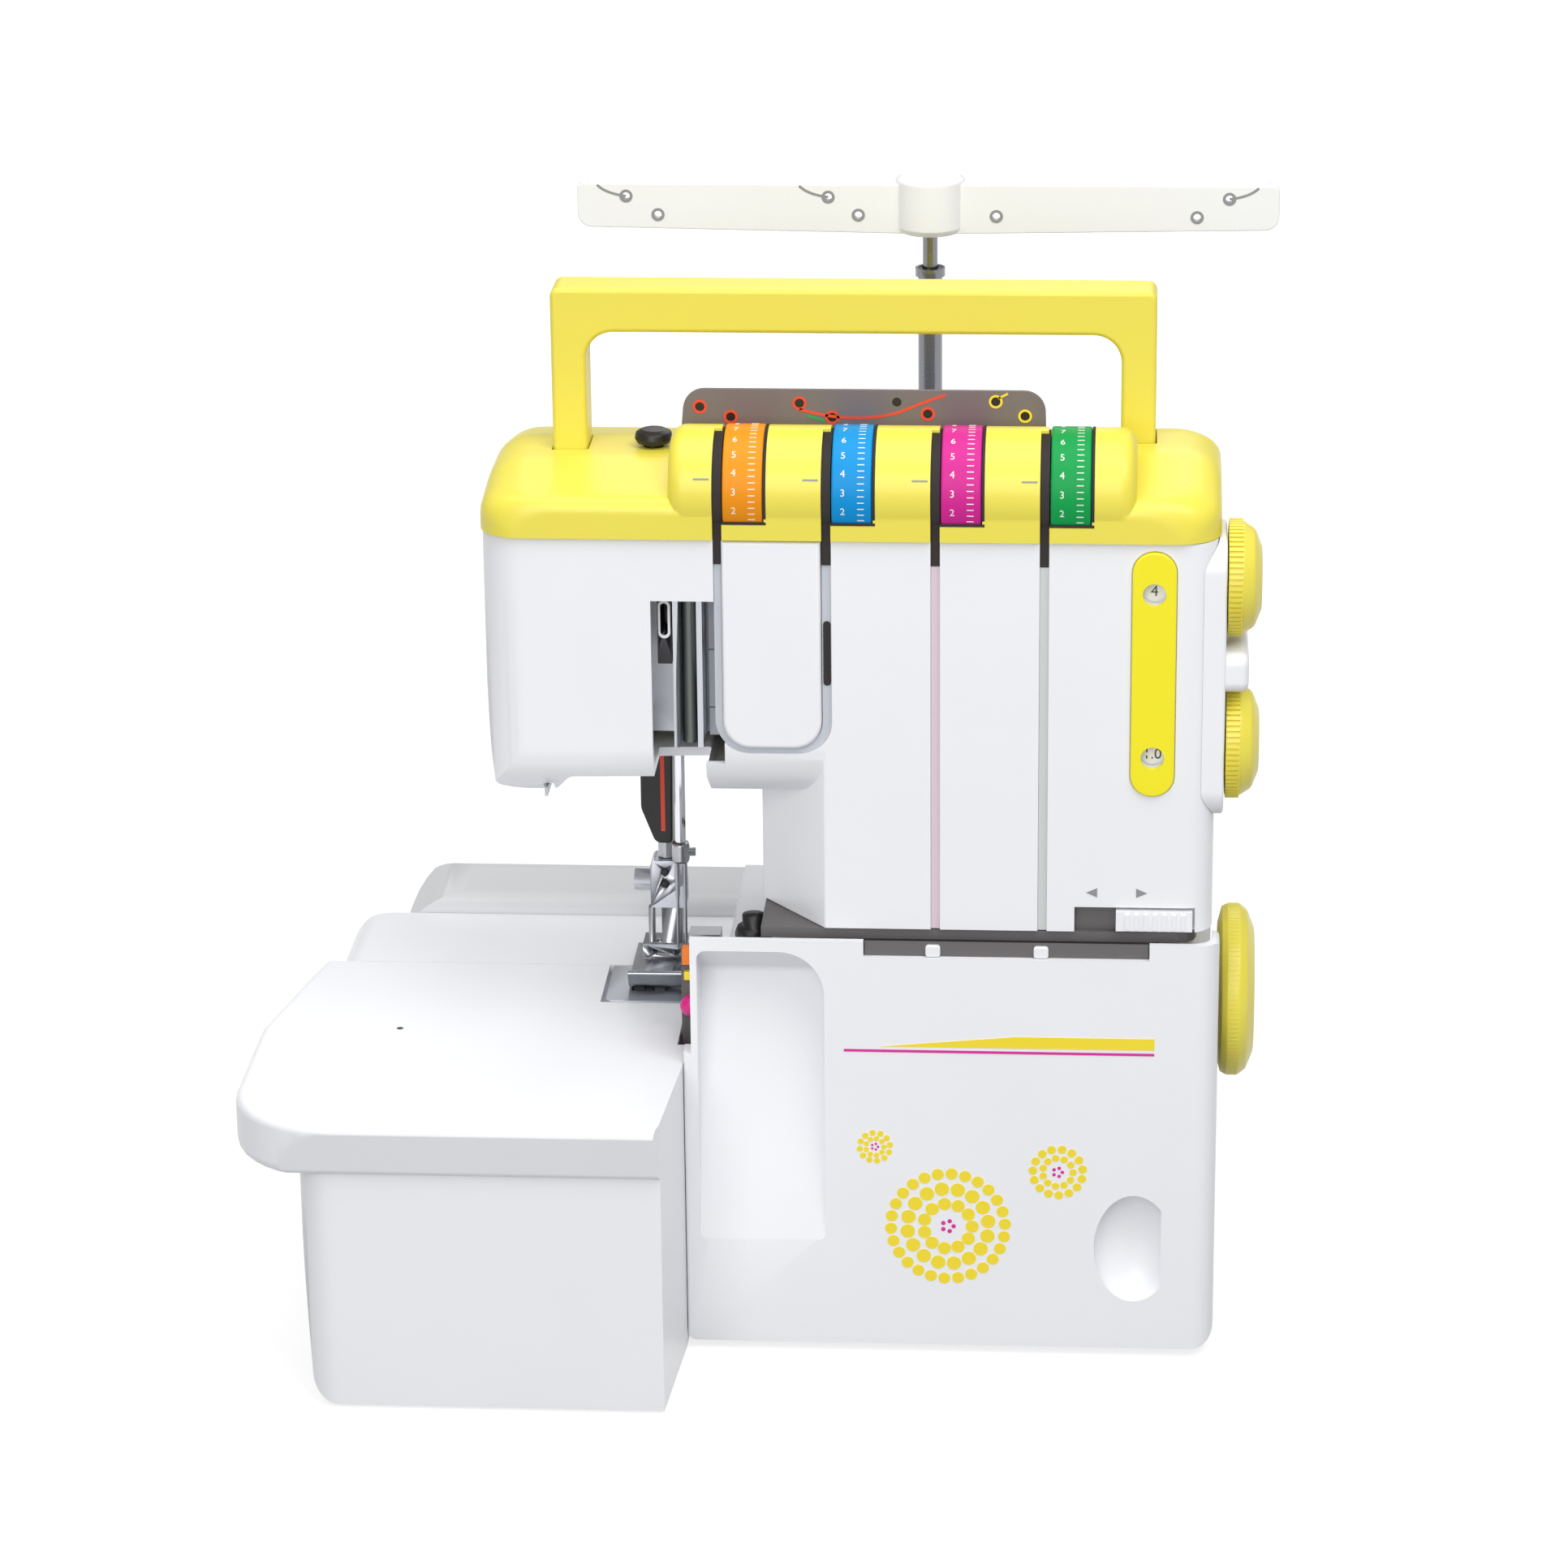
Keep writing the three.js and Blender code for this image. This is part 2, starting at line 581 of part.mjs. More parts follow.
function addTopCover() {
  const outer = coverSolid(0);
  const ribs = [housingLeft + 4, housingRight - 6.5].map((x) =>
    box(x, x + 2.5, -82, -48, casingTop + gap, coverTop + 50).intersect(outer),
  );
  const legs = [handleLeft, handleRight - handleLeg].map((x) =>
    box(x - 0.4, x + handleLeg + 0.4, handleFront - 0.4, handleBack + 0.4, casingTop - 5, coverTop + 5));
  const cover = cut(
    joined(cut(outer, coverSolid(wall)), ...ribs),
    ...dialX.map((x) => rod('x', [dialAxisY, dialAxisZ], dialRadius + 0.4, x - gap, x + dialWidth + gap, 28)
      .intersect(box(x - 1, x + dialWidth + 1, -90, -60, casingTop, dialSlotBottom + 0.1))),
    ...dialX.map((x) => box(x - gap, x + dialWidth + gap, -90, dialSlotBack, dialSlotBottom, coverTop + 50)),
    ...slitX.map((x) => box(x - slitWidth / 2, x + slitWidth / 2, -90, -72, casingTop - 5, coverTop + 4)),
    rod('x', [dialAxisY, dialAxisZ], tensionShaftRadius + gap, housingLeft + 3, housingRight - 3),
    ...legs,
    rod('z', [regulatorX, regulatorY], 3.3, casingTop, coverTop + 5),
  );
  add('top_cover', cover, yellow);

  // Tension shaft with the thread discs behind every slit.
  const profile = [[0, housingLeft + 3.5], [tensionShaftRadius, housingLeft + 3.5]];
  slitX.forEach((x) =>
    profile.push(
      [tensionShaftRadius, x - 0.6],
      [12, x - 0.6],
      [12, x + 0.6],
      [tensionShaftRadius, x + 0.6],
    ),
  );
  profile.push([tensionShaftRadius, housingRight - 3.5], [0, housingRight - 3.5]);
  add('tension_shaft', turned('x', [dialAxisY, dialAxisZ], profile, 14), steel);

  dialX.forEach((x, i) => {
    const bore = tensionShaftRadius + gap;
    const end = x + dialWidth;
    const ring = [
      [bore, x], [dialRadius - 0.6, x], [dialRadius, x + 0.6],
      [dialRadius, end - 0.6], [dialRadius - 0.6, end], [bore, end],
    ];
    add(`tension_dial_${i + 1}`, turned('x', [dialAxisY, dialAxisZ], ring, 26), threadColours[i]);
  });
}

function addHandle() {
  const inner = [handleLeft + handleLeg, handleRight - handleLeg];
  const low = handleTop - handleBar;
  const shape = outline([
    [handleLeft, handleFootZ], [inner[0], handleFootZ], [inner[0], low, 9], [inner[1], low, 9],
    [inner[1], handleFootZ], [handleRight, handleFootZ], [handleRight, handleTop, 3],
    [handleLeft, handleTop, 3],
  ]);
  add('carrying_handle', alongY(shape, handleFront, handleBack, 1.4), yellow);

  const plateTop = coverTop + 18.6;
  const plateFoot = coverTop + 1.2;
  const sheet = alongY(
    outline([[-25.5, plateFoot], [92, plateFoot], [91.5, plateTop, 7], [-24, plateTop, 7]]),
    guidePlateBack - 1.2,
    guidePlateBack,
  );
  // Thread holes, measured along the plate and up from the cover.
  const holes = [
    [-19.1, 12.6], [-9.2, 9.3], [12.9, 14], [23.4, 9.4], [44.1, 14.6], [54, 10.8], [75.7, 15], [85.1, 10.3],
  ].map(([x, up]) => rod('y', [x, coverTop + up], 1.5, guidePlateBack - 4, guidePlateBack + 2, 10));
  const flange = box(-10, 80, guidePlateBack - 1.2, guidePlateBack + 4, coverTop + gap, coverTop + 1.6);
  add('thread_guide_plate', cut(joined(sheet, flange), ...holes), dark);

  const foot = casingTop + 7;
  const knob = [
    [0, foot], [3, foot], [3, coverTop + 0.8], [5.6, coverTop + 0.8],
    [6.2, coverTop + 1.8], [6, coverTop + 4.2], [4.4, coverTop + 5.6], [0, coverTop + 5.8],
  ];
  add('pressure_regulator_knob', turned('z', [regulatorX, regulatorY], knob, 14), black);
}

// ---- Side dials, drive and electrics ------------------------------------------------------------
// A knurled rim outline: shallow teeth round a circle.
const knurled = (u, v, radius, teeth, depth) => {
  const points = [];
  for (let k = 0; k < teeth * 2; k += 1) {
    const angle = (Math.PI * k) / teeth;
    const r = k % 2 ? radius : radius - depth;
    points.push(new THREE.Vector2(u + r * Math.cos(angle), v + r * Math.sin(angle)));
  }
  return new THREE.Shape(points);
};

function addSideDials() {
  const x = bodyRight + gap;
  const plate = cut(
    alongX(rectangle(sideDialY - 18, sideDialY + 20, casingTop - 93, casingTop - 0.6, 10), x - 8, x + 2.6),
    bodySolid(-gap),
  );
  const middle = (stitchDialZ + feedDialZ) / 2;
  const pad = alongX(
    rectangle(sideDialY - 17, sideDialY + 17, middle - 6.6, middle + 6.6, 4),
    x + 2,
    x + 10,
    2,
  );
  const housing = cut(
    joined(plate, pad),
    ...[stitchDialZ, feedDialZ].map((z) => rod('x', [sideDialY, z], 3.4, x - 1, x + 5)),
  );
  add('dial_housing', housing, white);

  [['stitch_length_dial', stitchDialZ], ['differential_feed_dial', feedDialZ]].forEach(([name, z]) => {
    const drumProfile = [
      [0, windowX - 7], [drumRadius, windowX - 7], [drumRadius, windowX + 7],
      [3, windowX + 7], [3, x + 4], [0, x + 4],
    ];
    const drum = turned('x', [sideDialY, z], drumProfile, 18);
    const knob = alongX(knurled(sideDialY, z, sideDialRadius, 22, 0.9), x + 3, x + 12);
    const cap = turned(
      'x',
      [sideDialY, z],
      [[0, x + 11], [sideDialRadius - 1, x + 11], [sideDialRadius - 3, x + 13.6], [0, x + 14]],
      24,
    );
    add(name, joined(drum, knob, cap), yellow);
  });
}

// The loop of a belt round two pulleys in the YZ plane, at a distance outside both.
function beltLoop(extra) {
  const a = new THREE.Vector2(shaftY, shaftZ);
  const b = new THREE.Vector2(motorY, motorZ);
  const across = b.clone().sub(a);
  const heading = Math.atan2(across.y, across.x);
  const lean = Math.acos((bigPulley - smallPulley) / across.length());
  const points = [];
  const arc = (centre, radius, from, to, steps) => {
    for (let k = 0; k <= steps; k += 1) {
      const t = from + ((to - from) * k) / steps;
      points.push(new THREE.Vector2(centre.x + radius * Math.cos(t), centre.y + radius * Math.sin(t)));
    }
  };
  arc(a, bigPulley + extra, heading + lean, heading + 2 * Math.PI - lean, 20);
  arc(b, smallPulley + extra, heading - lean, heading + lean, 10);
  return points;
}

function addDrive() {
  const end = bodyRight + 2.3;
  const wheel = [
    [0, end + gap], [wheelRadius - 6, end + gap], [wheelRadius - 1, end + 1.6], [wheelRadius, end + 3.5],
    [wheelRadius, end + 7.5], [wheelRadius - 2, end + 10], [wheelRadius - 8, end + 12.4], [0, end + 12.9],
  ];
  add('handwheel', turned('x', [shaftY, shaftZ], wheel, 30), yellow);

  const beltRight = beltLeft + beltWidth;
  const flanges = (radius, bore, rim) => [
    [bore, beltLeft - 1.6], [radius + rim, beltLeft - 1.6], [radius + rim, beltLeft - gap],
    [radius, beltLeft - gap], [radius, beltRight + gap], [radius + rim, beltRight + gap],
    [radius + rim, beltRight + 1.6], [bore, beltRight + 1.6],
  ];
  const shaft = rod('x', [shaftY, shaftZ], shaftRadius, 22, end);
  add(
    'main_shaft',
    joined(shaft, turned('x', [shaftY, shaftZ], flanges(bigPulley, shaftRadius - 1, 1.6), 24)),
    steel,
  );
  add('motor_pulley', turned('x', [motorY, motorZ], flanges(smallPulley, 2.2, 1.6), 16), black);
  const loop = new THREE.Shape(beltLoop(gap + beltThickness));
  loop.holes.push(new THREE.Path(beltLoop(gap)));
  add('drive_belt', alongX(loop, beltLeft, beltLeft + beltWidth), rubber);

  const motorRight = beltLeft - 9;
  const canProfile = [
    [0, -12], [5, -12], [5, -5], [motorRadius - 2, -5], [motorRadius, -3], [motorRadius, motorRight - 2],
    [motorRadius - 2, motorRight], [6, motorRight], [6, motorRight + 3], [0, motorRight + 3],
  ];
  const can = turned('x', [motorY, motorZ], canProfile, 20);
  const saddle = box(6, 44, motorY - 14, motorY + 14, baseZ, motorZ - 10);
  add(
    'motor',
    joined(can, saddle, rod('x', [motorY, motorZ], 1.9, motorRight, beltRight + 1)),
    cast,
  );
}

function addElectrics() {
  const block = cut(
    box(128, bodyRight + 0.2, 18, 40, 23, 68),
    alongX(rectangle(22, 36, 27, 41, 2), bodyRight - 7.5, bodyRight + 1),
    alongX(rectangle(20.4, 37.6, 48.4, 63.6, 1), 137, bodyRight + 1),
    rod('z', [143, 29], 1.6, 46, 66),
  );
  add('power_inlet', block, black);
  const rocker = alongZ(
    outline([[138.5, 22.6, 1], [148.4, 21.6, 1.5], [147, 29], [148.4, 36.4, 1.5], [138.5, 35.4, 1]]),
    49,
    63,
  );
  add('power_switch', joined(rocker, rod('z', [143, 29], 1.3, 46.6, 65.4, 12)), black);
}

// ---- Cast frame ---------------------------------------------------------------------------------
function addFrame() {
  const [front, back] = [9, 26];
  const shape = outline([
    [-120, baseZ + gap], [138, baseZ + gap], [138, 268, 6], [-70, 268, 4], [-70, 232, 4], [80, 232, 14],
    [80, 92, 8], [-120, 92, 4],
  ]);
  const pocket = (x0, x1, z0, z1) => alongY(rectangle(x0, x1, z0, z1, 6), front - 1, back + 1);
  let frame = alongY(shape, front, back);
  frame = cut(
    frame,
    box(beltLeft - 6, beltLeft + beltWidth + 6, front - 1, back + 1, 40, 100),
    pocket(-112, -66, 22, 80), pocket(-8, 48, 22, 80), pocket(92, 128, 22, 92), pocket(92, 128, 130, 216),
    rod('y', [-46, 44], 2.8, front - 1, back + 1), rod('y', [-22, 44], 2.8, front - 1, back + 1),
    box(126, 140, 8, 30, 20, 70),
  );
  // Bearing arms of the main shaft.
  [86, 112].forEach((x) => {
    const arm = joined(
      box(x, x + 8, shaftY, front + 1, shaftZ - 9, shaftZ + 9),
      rod('x', [shaftY, shaftZ], 9, x, x + 8, 12),
    );
    frame = joined(frame, arm);
  });
  frame = cut(frame, rod('x', [shaftY, shaftZ], shaftRadius + gap, 60, 140));
  // Guides of the needle bar and presser bar, and the lifter's pivot.
  [[236, 246], [256, 266]].forEach(([z0, z1]) => {
    frame = joined(frame, box(-47, -22, -19, front + 1, z0, z1));
  });
  const pivot = joined(
    box(-47, -36, -1.6, 0.6, lifterZ - 7, 238),
    rod('y', [lifterX, lifterZ], 2, -7.8, -1, 16),
  );
  frame = cut(
    joined(frame, pivot),
    rod('z', [needleX, needleY], needleBarRadius + gap, 230, 270),
    rod('z', [presserX, presserY], presserRadius + gap, 230, 270),
  );
  // Ledge that carries the feed bars and the needle plate.
  const ledge = joined(
    box(-56, -34, -3, front + 1, 78, 85.7),
    box(-56, -50.5, -30, -2, 78, 85.7),
    box(-56, -50.5, -30, front - 9, 84, 99.2),
  );
  add('machine_frame', joined(frame, ledge), cast);
}

// ---- Sewing parts -------------------------------------------------------------------------------
function addSewing() {
  add('needle_bar', rod('z', [needleX, needleY], needleBarRadius, 152.3, 274), chrome);
  const clamp = joined(
    turned(
      'z',
      [needleX, needleY],
      [[0, 145], [2.6, 145], [3, 146], [3, 151], [2.6, 152], [0, 152]],
      20,
    ),
    rod('x', [needleY, 148.6], 1.5, needleX, needleX + 5, 12),
  );
  const needle = [[0, 113], [0.55, 116], [0.55, 131], [0.9, 133], [0.9, 145.5], [0, 145.5]];
  const needles = needleXs.map((x) => turned('z', [x, needleY], needle, 6));
  add('needle_clamp', joined(clamp, ...needles), steel);

  add('presser_bar', rod('z', [presserX, presserY], presserRadius, 141.3, 268), steel);
  const holder = cut(
    joined(
      alongY(outline([[-42.6, 124], [-30.5, 124], [-30.5, 133], [-34, 141, 1], [-42.6, 141, 2]]), -1, 9.5),
      rod('x', [4, 132.4], 3.8, -48.3, -42, 14),
    ),
    rod('y', [-37.6, 136.9], 1.5, -2, 3, 12),
    rod('y', [-37.6, 132.5], 1.5, -2, 3, 12),
  );
  add('foot_holder', holder, steel);
  const sole = alongX(
    outline(
      [[14, 102.8], [14, 105.6, 1], [-19, 105.6, 3], [-25, 110.5, 1], [-27, 110, 1], [-22, 102.8, 4]],
    ),
    -48.5,
    -29,
  );
  const foot = cut(
    joined(
      sole,
      box(-39, -32, 0, 7, 105, 123.7),
      box(-43.5, -41.4, 0, 3, 105, 123.7),
      box(-45.5, -30.5, -2, 9, 105, 111),
    ),
    rod('y', [-41.5, 108], 1.2, -3, 2, 10),
    rod('y', [-34, 108], 1.2, -3, 2, 10),
    box(-34.4, -27, -17, -7.5, 100, 112), // needle slot, open to the right
    box(-47.4, -35.4, -14, -4, 101, 103.9),
  );
  add('presser_foot', foot, steel);
  const lever = alongY(
    outline([[-44.8, 195, 2], [-44.8, 172, 4], [-40, 149.5, 1.5], [-34.2, 149.5, 1.5], [-33.6, 195, 2]]),
    -7,
    -2,
  );
  add('presser_lifter', cut(lever, rod('y', [lifterX, lifterZ], 2.3, -8, 0)), black);

  const blade = joined(
    alongX(outline([[-26, 100], [-18, 101.5], [-18, 124], [-26, 124]]), -27.5, -26.1),
    box(-27.5, -16.9, -26, -18, 118, 124),
    box(-20, -17, -26, -18, 72, 119),
  );
  add('upper_knife', blade, steel);
  add(
    'lower_knife',
    alongX(outline([[-26, 84], [-17, 84], [-17, 101.8], [-26, 100.6]]), -25.8, -24.3),
    steel,
  );

  const plate = alongZ(
    outline([[-55.8, bedFront - 1], [-55.8, -32.2, 2], [-28.4, -32.2, 2], [-28.4, bedFront - 1]]),
    99.5,
    bedTop,
  );
  add('needle_plate', cut(
    plate,
    box(-47.6, -42.9, -22.6, -0.8, 98, 104), box(-40.6, -35.9, -22.6, -0.8, 98, 104),
    box(-33.6, -29, -13.6, -10.4, 98, 104), box(-29, -28, -26.6, -17.4, 98, 104),
  ), steel);

  // Feed dogs with saw teeth on bars that reach back over the frame's ledge.
  [['feed_dog_main', -47.1], ['feed_dog_differential', -40.1]].forEach(([name, x]) => {
    const teeth = [[-20, 94]];
    for (let y = -20; y < -4.2; y += 1.9) teeth.push([y + 0.3, 101.6], [y + 1.4, 102.6]);
    teeth.push([-3.4, 101.6], [-3.4, 94]);
    add(name, joined(alongX(outline(teeth), x, x + 3.7), box(x, x + 3.7, -6, 5.5, 86, 95)), steel);
  });

  const lower = joined(
    alongY(
      outline(
        [
          [-43.6, 40, 1], [-43, 80, 2], [-36, 90, 1], [-35, 92.4], [-38, 92, 1], [-48, 84, 3],
          [-49.4, 40, 1],
        ],
      ),
      -16.4,
      -14.9,
    ),
    rod('y', [-46, 44], 5, -18.4, -14.9), rod('y', [-46, 44], 2.5, -15, 24),
  );
  add('lower_looper', lower, chrome);
  const upper = joined(
    alongY(
      outline(
        [
          [-19.6, 40, 1], [-20.6, 74, 3], [-26.6, 88, 1], [-28.4, 91.2], [-29, 86, 2], [-25, 70, 3],
          [-25.4, 40, 1],
        ],
      ),
      -9.6,
      -8.1,
    ),
    rod('y', [-22, 44], 4.6, -11.6, -8.1), rod('y', [-22, 44], 2.5, -8.2, 24),
  );
  add('upper_looper', upper, chrome);

  const strip = joined(box(-27.2, -22.9, -60, -57, 97, 133), box(-23, baseLeft - gap, -60, -57, 99, 110));
  const clip = cut(box(-27.4, -22.6, -63.6, -59.5, 124.4, 134.6), rod('x', [-62, 129.5], 1, -30, -20, 10));
  const ball = turned(
    'y',
    [-23.8, 112.9],
    [[0, -66], [2, -65.6], [3.4, -64], [3.8, -62.4], [3.2, -59.5], [0, -59.5]],
    20,
  );
  add('looper_thread_guides', joined(strip, clip, ball), dark);
  const post = [
    [0, sillTop + gap], [3, sillTop + gap], [3, 130], [6.3, 130], [6.3, 139], [5.4, 141], [3.8, 141],
    [3.8, 145], [0, 145.4],
  ];
  add('cutting_width_knob', turned('z', [-2.9, -60.8], post, 14), black);
}

// ---- Looper cover and side cover ----------------------------------------------------------------
function addLooperCover() {
  const skin = (inset) => {
    const [left, right] = [looperLeft + inset, looperRight - inset];
    const over = inset ? 1 : 0;
    const foot = looperBottom + inset;
    const top = looperTop + 2 * over;
    const plan = outline([
      [left, looperFront + inset, 1.2],
      [right, looperFront + inset, looperCorner - inset],
      [right, looperFront + looperCorner + over],
      [left, looperFront + looperCorner + over],
    ], 4);
    const face = outline([
      [left, foot, 3], [right, foot, 7 - inset], [right, top, inset ? 0 : 2], [left, top, inset ? 0 : 3],
    ]);
    return alongZ(plan, 0, 200).intersect(alongY(face, looperFront - 5, looperFront + 30));
  };
  let cover = cut(
    skin(0),
    skin(wall),
    box(looperLeft - 1, looperRight - 7, looperFront + 8, looperFront + 30, 0, 160),
  );

  // Recess for cloth at the left: flush at its foot, deepest under a sloping ceiling.
  const recess = (grow, front) => {
    const [left, right] = [recessLeft - grow, recessRight + grow];
    const [foot, top] = [recessFoot - grow, recessTop + grow];
    const hollow = outline([[left, foot, 3], [right, foot, 3], [right, top, 15], [left, top, 3]], 4);
    const slope = outline([
      [front, foot], [looperFront + grow, foot], [looperFront + recessDepth + grow, recessDeepest, 3],
      [looperFront + grow, top], [front, top],
    ]);
    return alongY(hollow, looperFront - 1, looperFront + recessDepth + 5)
      .intersect(alongX(slope, looperLeft - 5, recessRight + 10));
  };

  // Scooped thumb hold, straight at its right side.
  const scoop = (grow, front) => {
    const bowl = new THREE.SphereGeometry(1, 16, 10)
      .scale(scoopSize[0] + grow, scoopSize[1] + grow, scoopSize[2] + grow)
      .translate(scoopX, looperFront, scoopZ);
    return solid(bowl).intersect(
      box(scoopX - 23, scoopX + 9 + grow, front, looperFront + 20, scoopZ - 29, scoopZ + 41),
    );
  };
  cover = cut(
    joined(cover, recess(2.1, looperFront), scoop(2, looperFront)),
    recess(0, looperFront - 1),
    scoop(0, looperFront - 1),
  );

  const ear = (x) => joined(
    box(x, x + 5, looperFront + 1, hingeY, hingeZ - 3, hingeZ + 3),
    rod('x', [hingeY, hingeZ], 4.4, x, x + 5, 12),
  );
  const lugRoom = (x) => box(x, x + 11.5, looperFront + 3.2, looperFront + 12, 0, 8.6);
  cover = cut(
    joined(cover, ear(-17), ear(133)),
    rod('x', [hingeY, hingeZ], hingeRadius + gap, -18.6, 139),
    box(34.5, 127, looperFront - 1, looperFront + 6, looperTop - 5.5, looperTop + 4), // thread slot
    box(looperLeft - 1, looperNotchRight, looperFront - 1, looperFront + 20, looperNotchFoot, looperTop + 1),
    lugRoom(-12),
    lugRoom(120.5),
  );
  add('looper_cover', cover, white);
  add('looper_cover_hinge_rod', rod('x', [hingeY, hingeZ], hingeRadius, -18, 138.6, 16), steel);
}

function addSideCover() {
  const back = bedFront - gap;
  const notchLeft = -57.2;
  const notchFront = -33.3;
  const slabFoot = bedTop - tableThickness;
  const slab = (inset, z0, z1, bevel) => {
    const [left, front] = [tableLeft + inset, tableFront + inset];
    const plan = outline([
      [tableRight + 14, front], [left, front, 32 - inset], [left, -60, 20 - inset],
      [left + 9, -12, 8], [left + 15, 15], [tableRight + 14, 15],
    ], 6);
    // Its front face leans inwards below the rounded edge.
    const side = outline([
      [front, bedTop + 1], [front, bedTop - 6, 5], [front + lipLean, slabFoot], [20, slabFoot], [20, bedTop + 1],
    ]);
    return alongZ(plan, z0, z1, bevel).intersect(alongX(side, -300, 0));
  };
  const boxPart = (inset) => {
    const [left, front, foot] = [sideBoxLeft + inset, sideBoxFront + inset, sideBoxBottom + inset];
    const right = tableRight + 10;
    const plan = outline([[right, front], [left, front, 12 - inset], [left, 14], [right, 14]], 4);
    const face = outline([[left + 3, foot, 9], [right, foot], [right, 200], [left, 200], [left, 60, 40]], 4);
    return alongZ(plan, sideBoxBottom - 2, slabFoot + 3).intersect(alongY(face, -200, 50));
  };
  // What lies right of the cover; the right side draws in towards the front.
  const beyond = (inset) => {
    const x = tableRight - inset;
    const plan = outline([
      [x, 20], [x, looperFront], [x - tableTaper, tableFront + 5], [x - tableTaper - 2, tableFront - 2],
      [50, tableFront - 2], [50, 20],
    ]);
    return alongZ(plan, -10, 300);
  };
  const outside = joined(slab(0, slabFoot, bedTop, 5), boxPart(0));
  const inside = joined(slab(3, slabFoot + 2.6, bedTop - 2.6, 3), boxPart(wall));
  const ribLeft = bedLeft + 6;
  const cover = cut(
    joined(
      cut(outside, inside),
      outside.intersect(beyond(wall)),
      box(ribLeft, -63, -9, -5, 80, 86), // rib that rests in front of the bed's ledge
      box(ribLeft, -63, -9, -1, 81.8, 84),
    ),
    beyond(0),
    box(-300, 300, back, 300, -10, 300),
    box(notchLeft, 200, notchFront, 300, -10, 300),
    box(tableRightBehind, 200, -70, 300, -10, 300),
    box(tableRightBehind - 4, 200, -62, 300, -10, bedTop - 2.7),
  );
  add('side_cover', cover, white);
}

// ---- Spools and antenna -------------------------------------------------------------------------
function addSpools() {
  const front = motorCoverBack + 0.5;
  const left = antennaX - spoolOuter - 16;
  const right = antennaX + spoolOuter + 16;
  const hollow = rectangle(left + wall, right - wall, front + wall, trayBack - wall, 11.5);
  const tray = joined(
    cut(
      alongZ(rectangle(left, right, front, trayBack, 14), trayTop - 10, trayTop),
      alongZ(hollow, trayTop - 7, trayTop + 1),
    ),
    box(-20, 118, front, front + 3, 14, trayTop - 9),
    rod('z', [antennaX, antennaY], 7, trayTop - 8, trayTop - 4, 20),
  );
  const floor = trayTop - 7.5;
  const pin = [
    [0, floor], [17, floor], [17, floor + 2], [7, floor + 3], [3.6, floor + 9], [3, floor + 44], [0, floor + 46],
  ];
  const pins = [-spoolOuter, -spoolInner, spoolInner, spoolOuter].map((shift) =>
    turned('z', [antennaX + shift, spoolPinY], pin, 12));
  const tubeRoom = rod('z', [antennaX, antennaY], 5.9, trayTop - 3.9, trayTop + 1);
  add('spool_tray', cut(joined(tray, ...pins), tubeRoom), greyWhite);

  const tubeFoot = trayTop - 4 + gap;
  const tubeTop = antennaTop - 30.3;
  const place = [antennaX, antennaY];
  const baseTube = [
    [0, tubeFoot], [5.6, tubeFoot], [5.6, 190], [4.6, 190], [4.6, tubeFoot + 2], [0, tubeFoot + 2],
  ];
  add('antenna_base_tube', turned('z', place, baseTube, 20), steel);
  const middleTube = [
    [0, 166], [4.2, 166], [4.2, tubeTop - 3], [5.2, tubeTop - 3],
    [5.2, tubeTop], [2.9, tubeTop], [2.9, 170], [0, 170],
  ];
  add('antenna_middle_tube', turned('z', place, middleTube, 20), chrome);
  const hubBottom = antennaTop - guideBarHeight;
  add('antenna_rod', rod('z', place, 2.6, 200, hubBottom + 9, 16), chrome);

  // Guide bar: two wings with a folded top edge on a round hub, and an eyelet for every thread.
  const shape = outline([
    [guideBarLeft, hubBottom + 2, 5], [antennaX, hubBottom], [guideBarRight, hubBottom + 2, 5],
    [guideBarRight, antennaTop, 2], [guideBarLeft, antennaTop, 2],
  ]);
  const wing = joined(
    alongY(shape, antennaY - 5.5, antennaY - 2.5),
    box(guideBarLeft + 3, guideBarRight - 3, antennaY - 3, antennaY + 6, antennaTop - 2.5, antennaTop),
  );
  const hubProfile = [
    [0, hubBottom], [10, hubBottom], [12, hubBottom + 2],
    [12, antennaTop + 1], [10, antennaTop + 2.6], [0, antennaTop + 2.6],
  ];
  const hub = turned('z', place, hubProfile, 18);
  const eyelets = [[-105, 4.5], [-94, 11], [-35, 4.5], [-24.6, 10.8], [23, 11], [92, 11], [103, 4.5]]
    .map(([shift, down]) => rod('y', [antennaX + shift, antennaTop - down], 1.4, antennaY - 8, antennaY, 8));
  add(
    'thread_guide_bar',
    cut(joined(wing, hub), rod('z', place, 2.9, hubBottom - 1, hubBottom + 9.4), ...eyelets),
    white,
  );
}

addBase();
addLowerCasing();
addBed();
addMotorCover();
addCasings();
addTopCover();
addHandle();
addSideDials();
addDrive();
addElectrics();
addFrame();
addSewing();
addLooperCover();
addSideCover();
addSpools();

export default object;
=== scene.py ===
import bpy
import bmesh
import math
from mathutils import Matrix, Quaternion, Vector


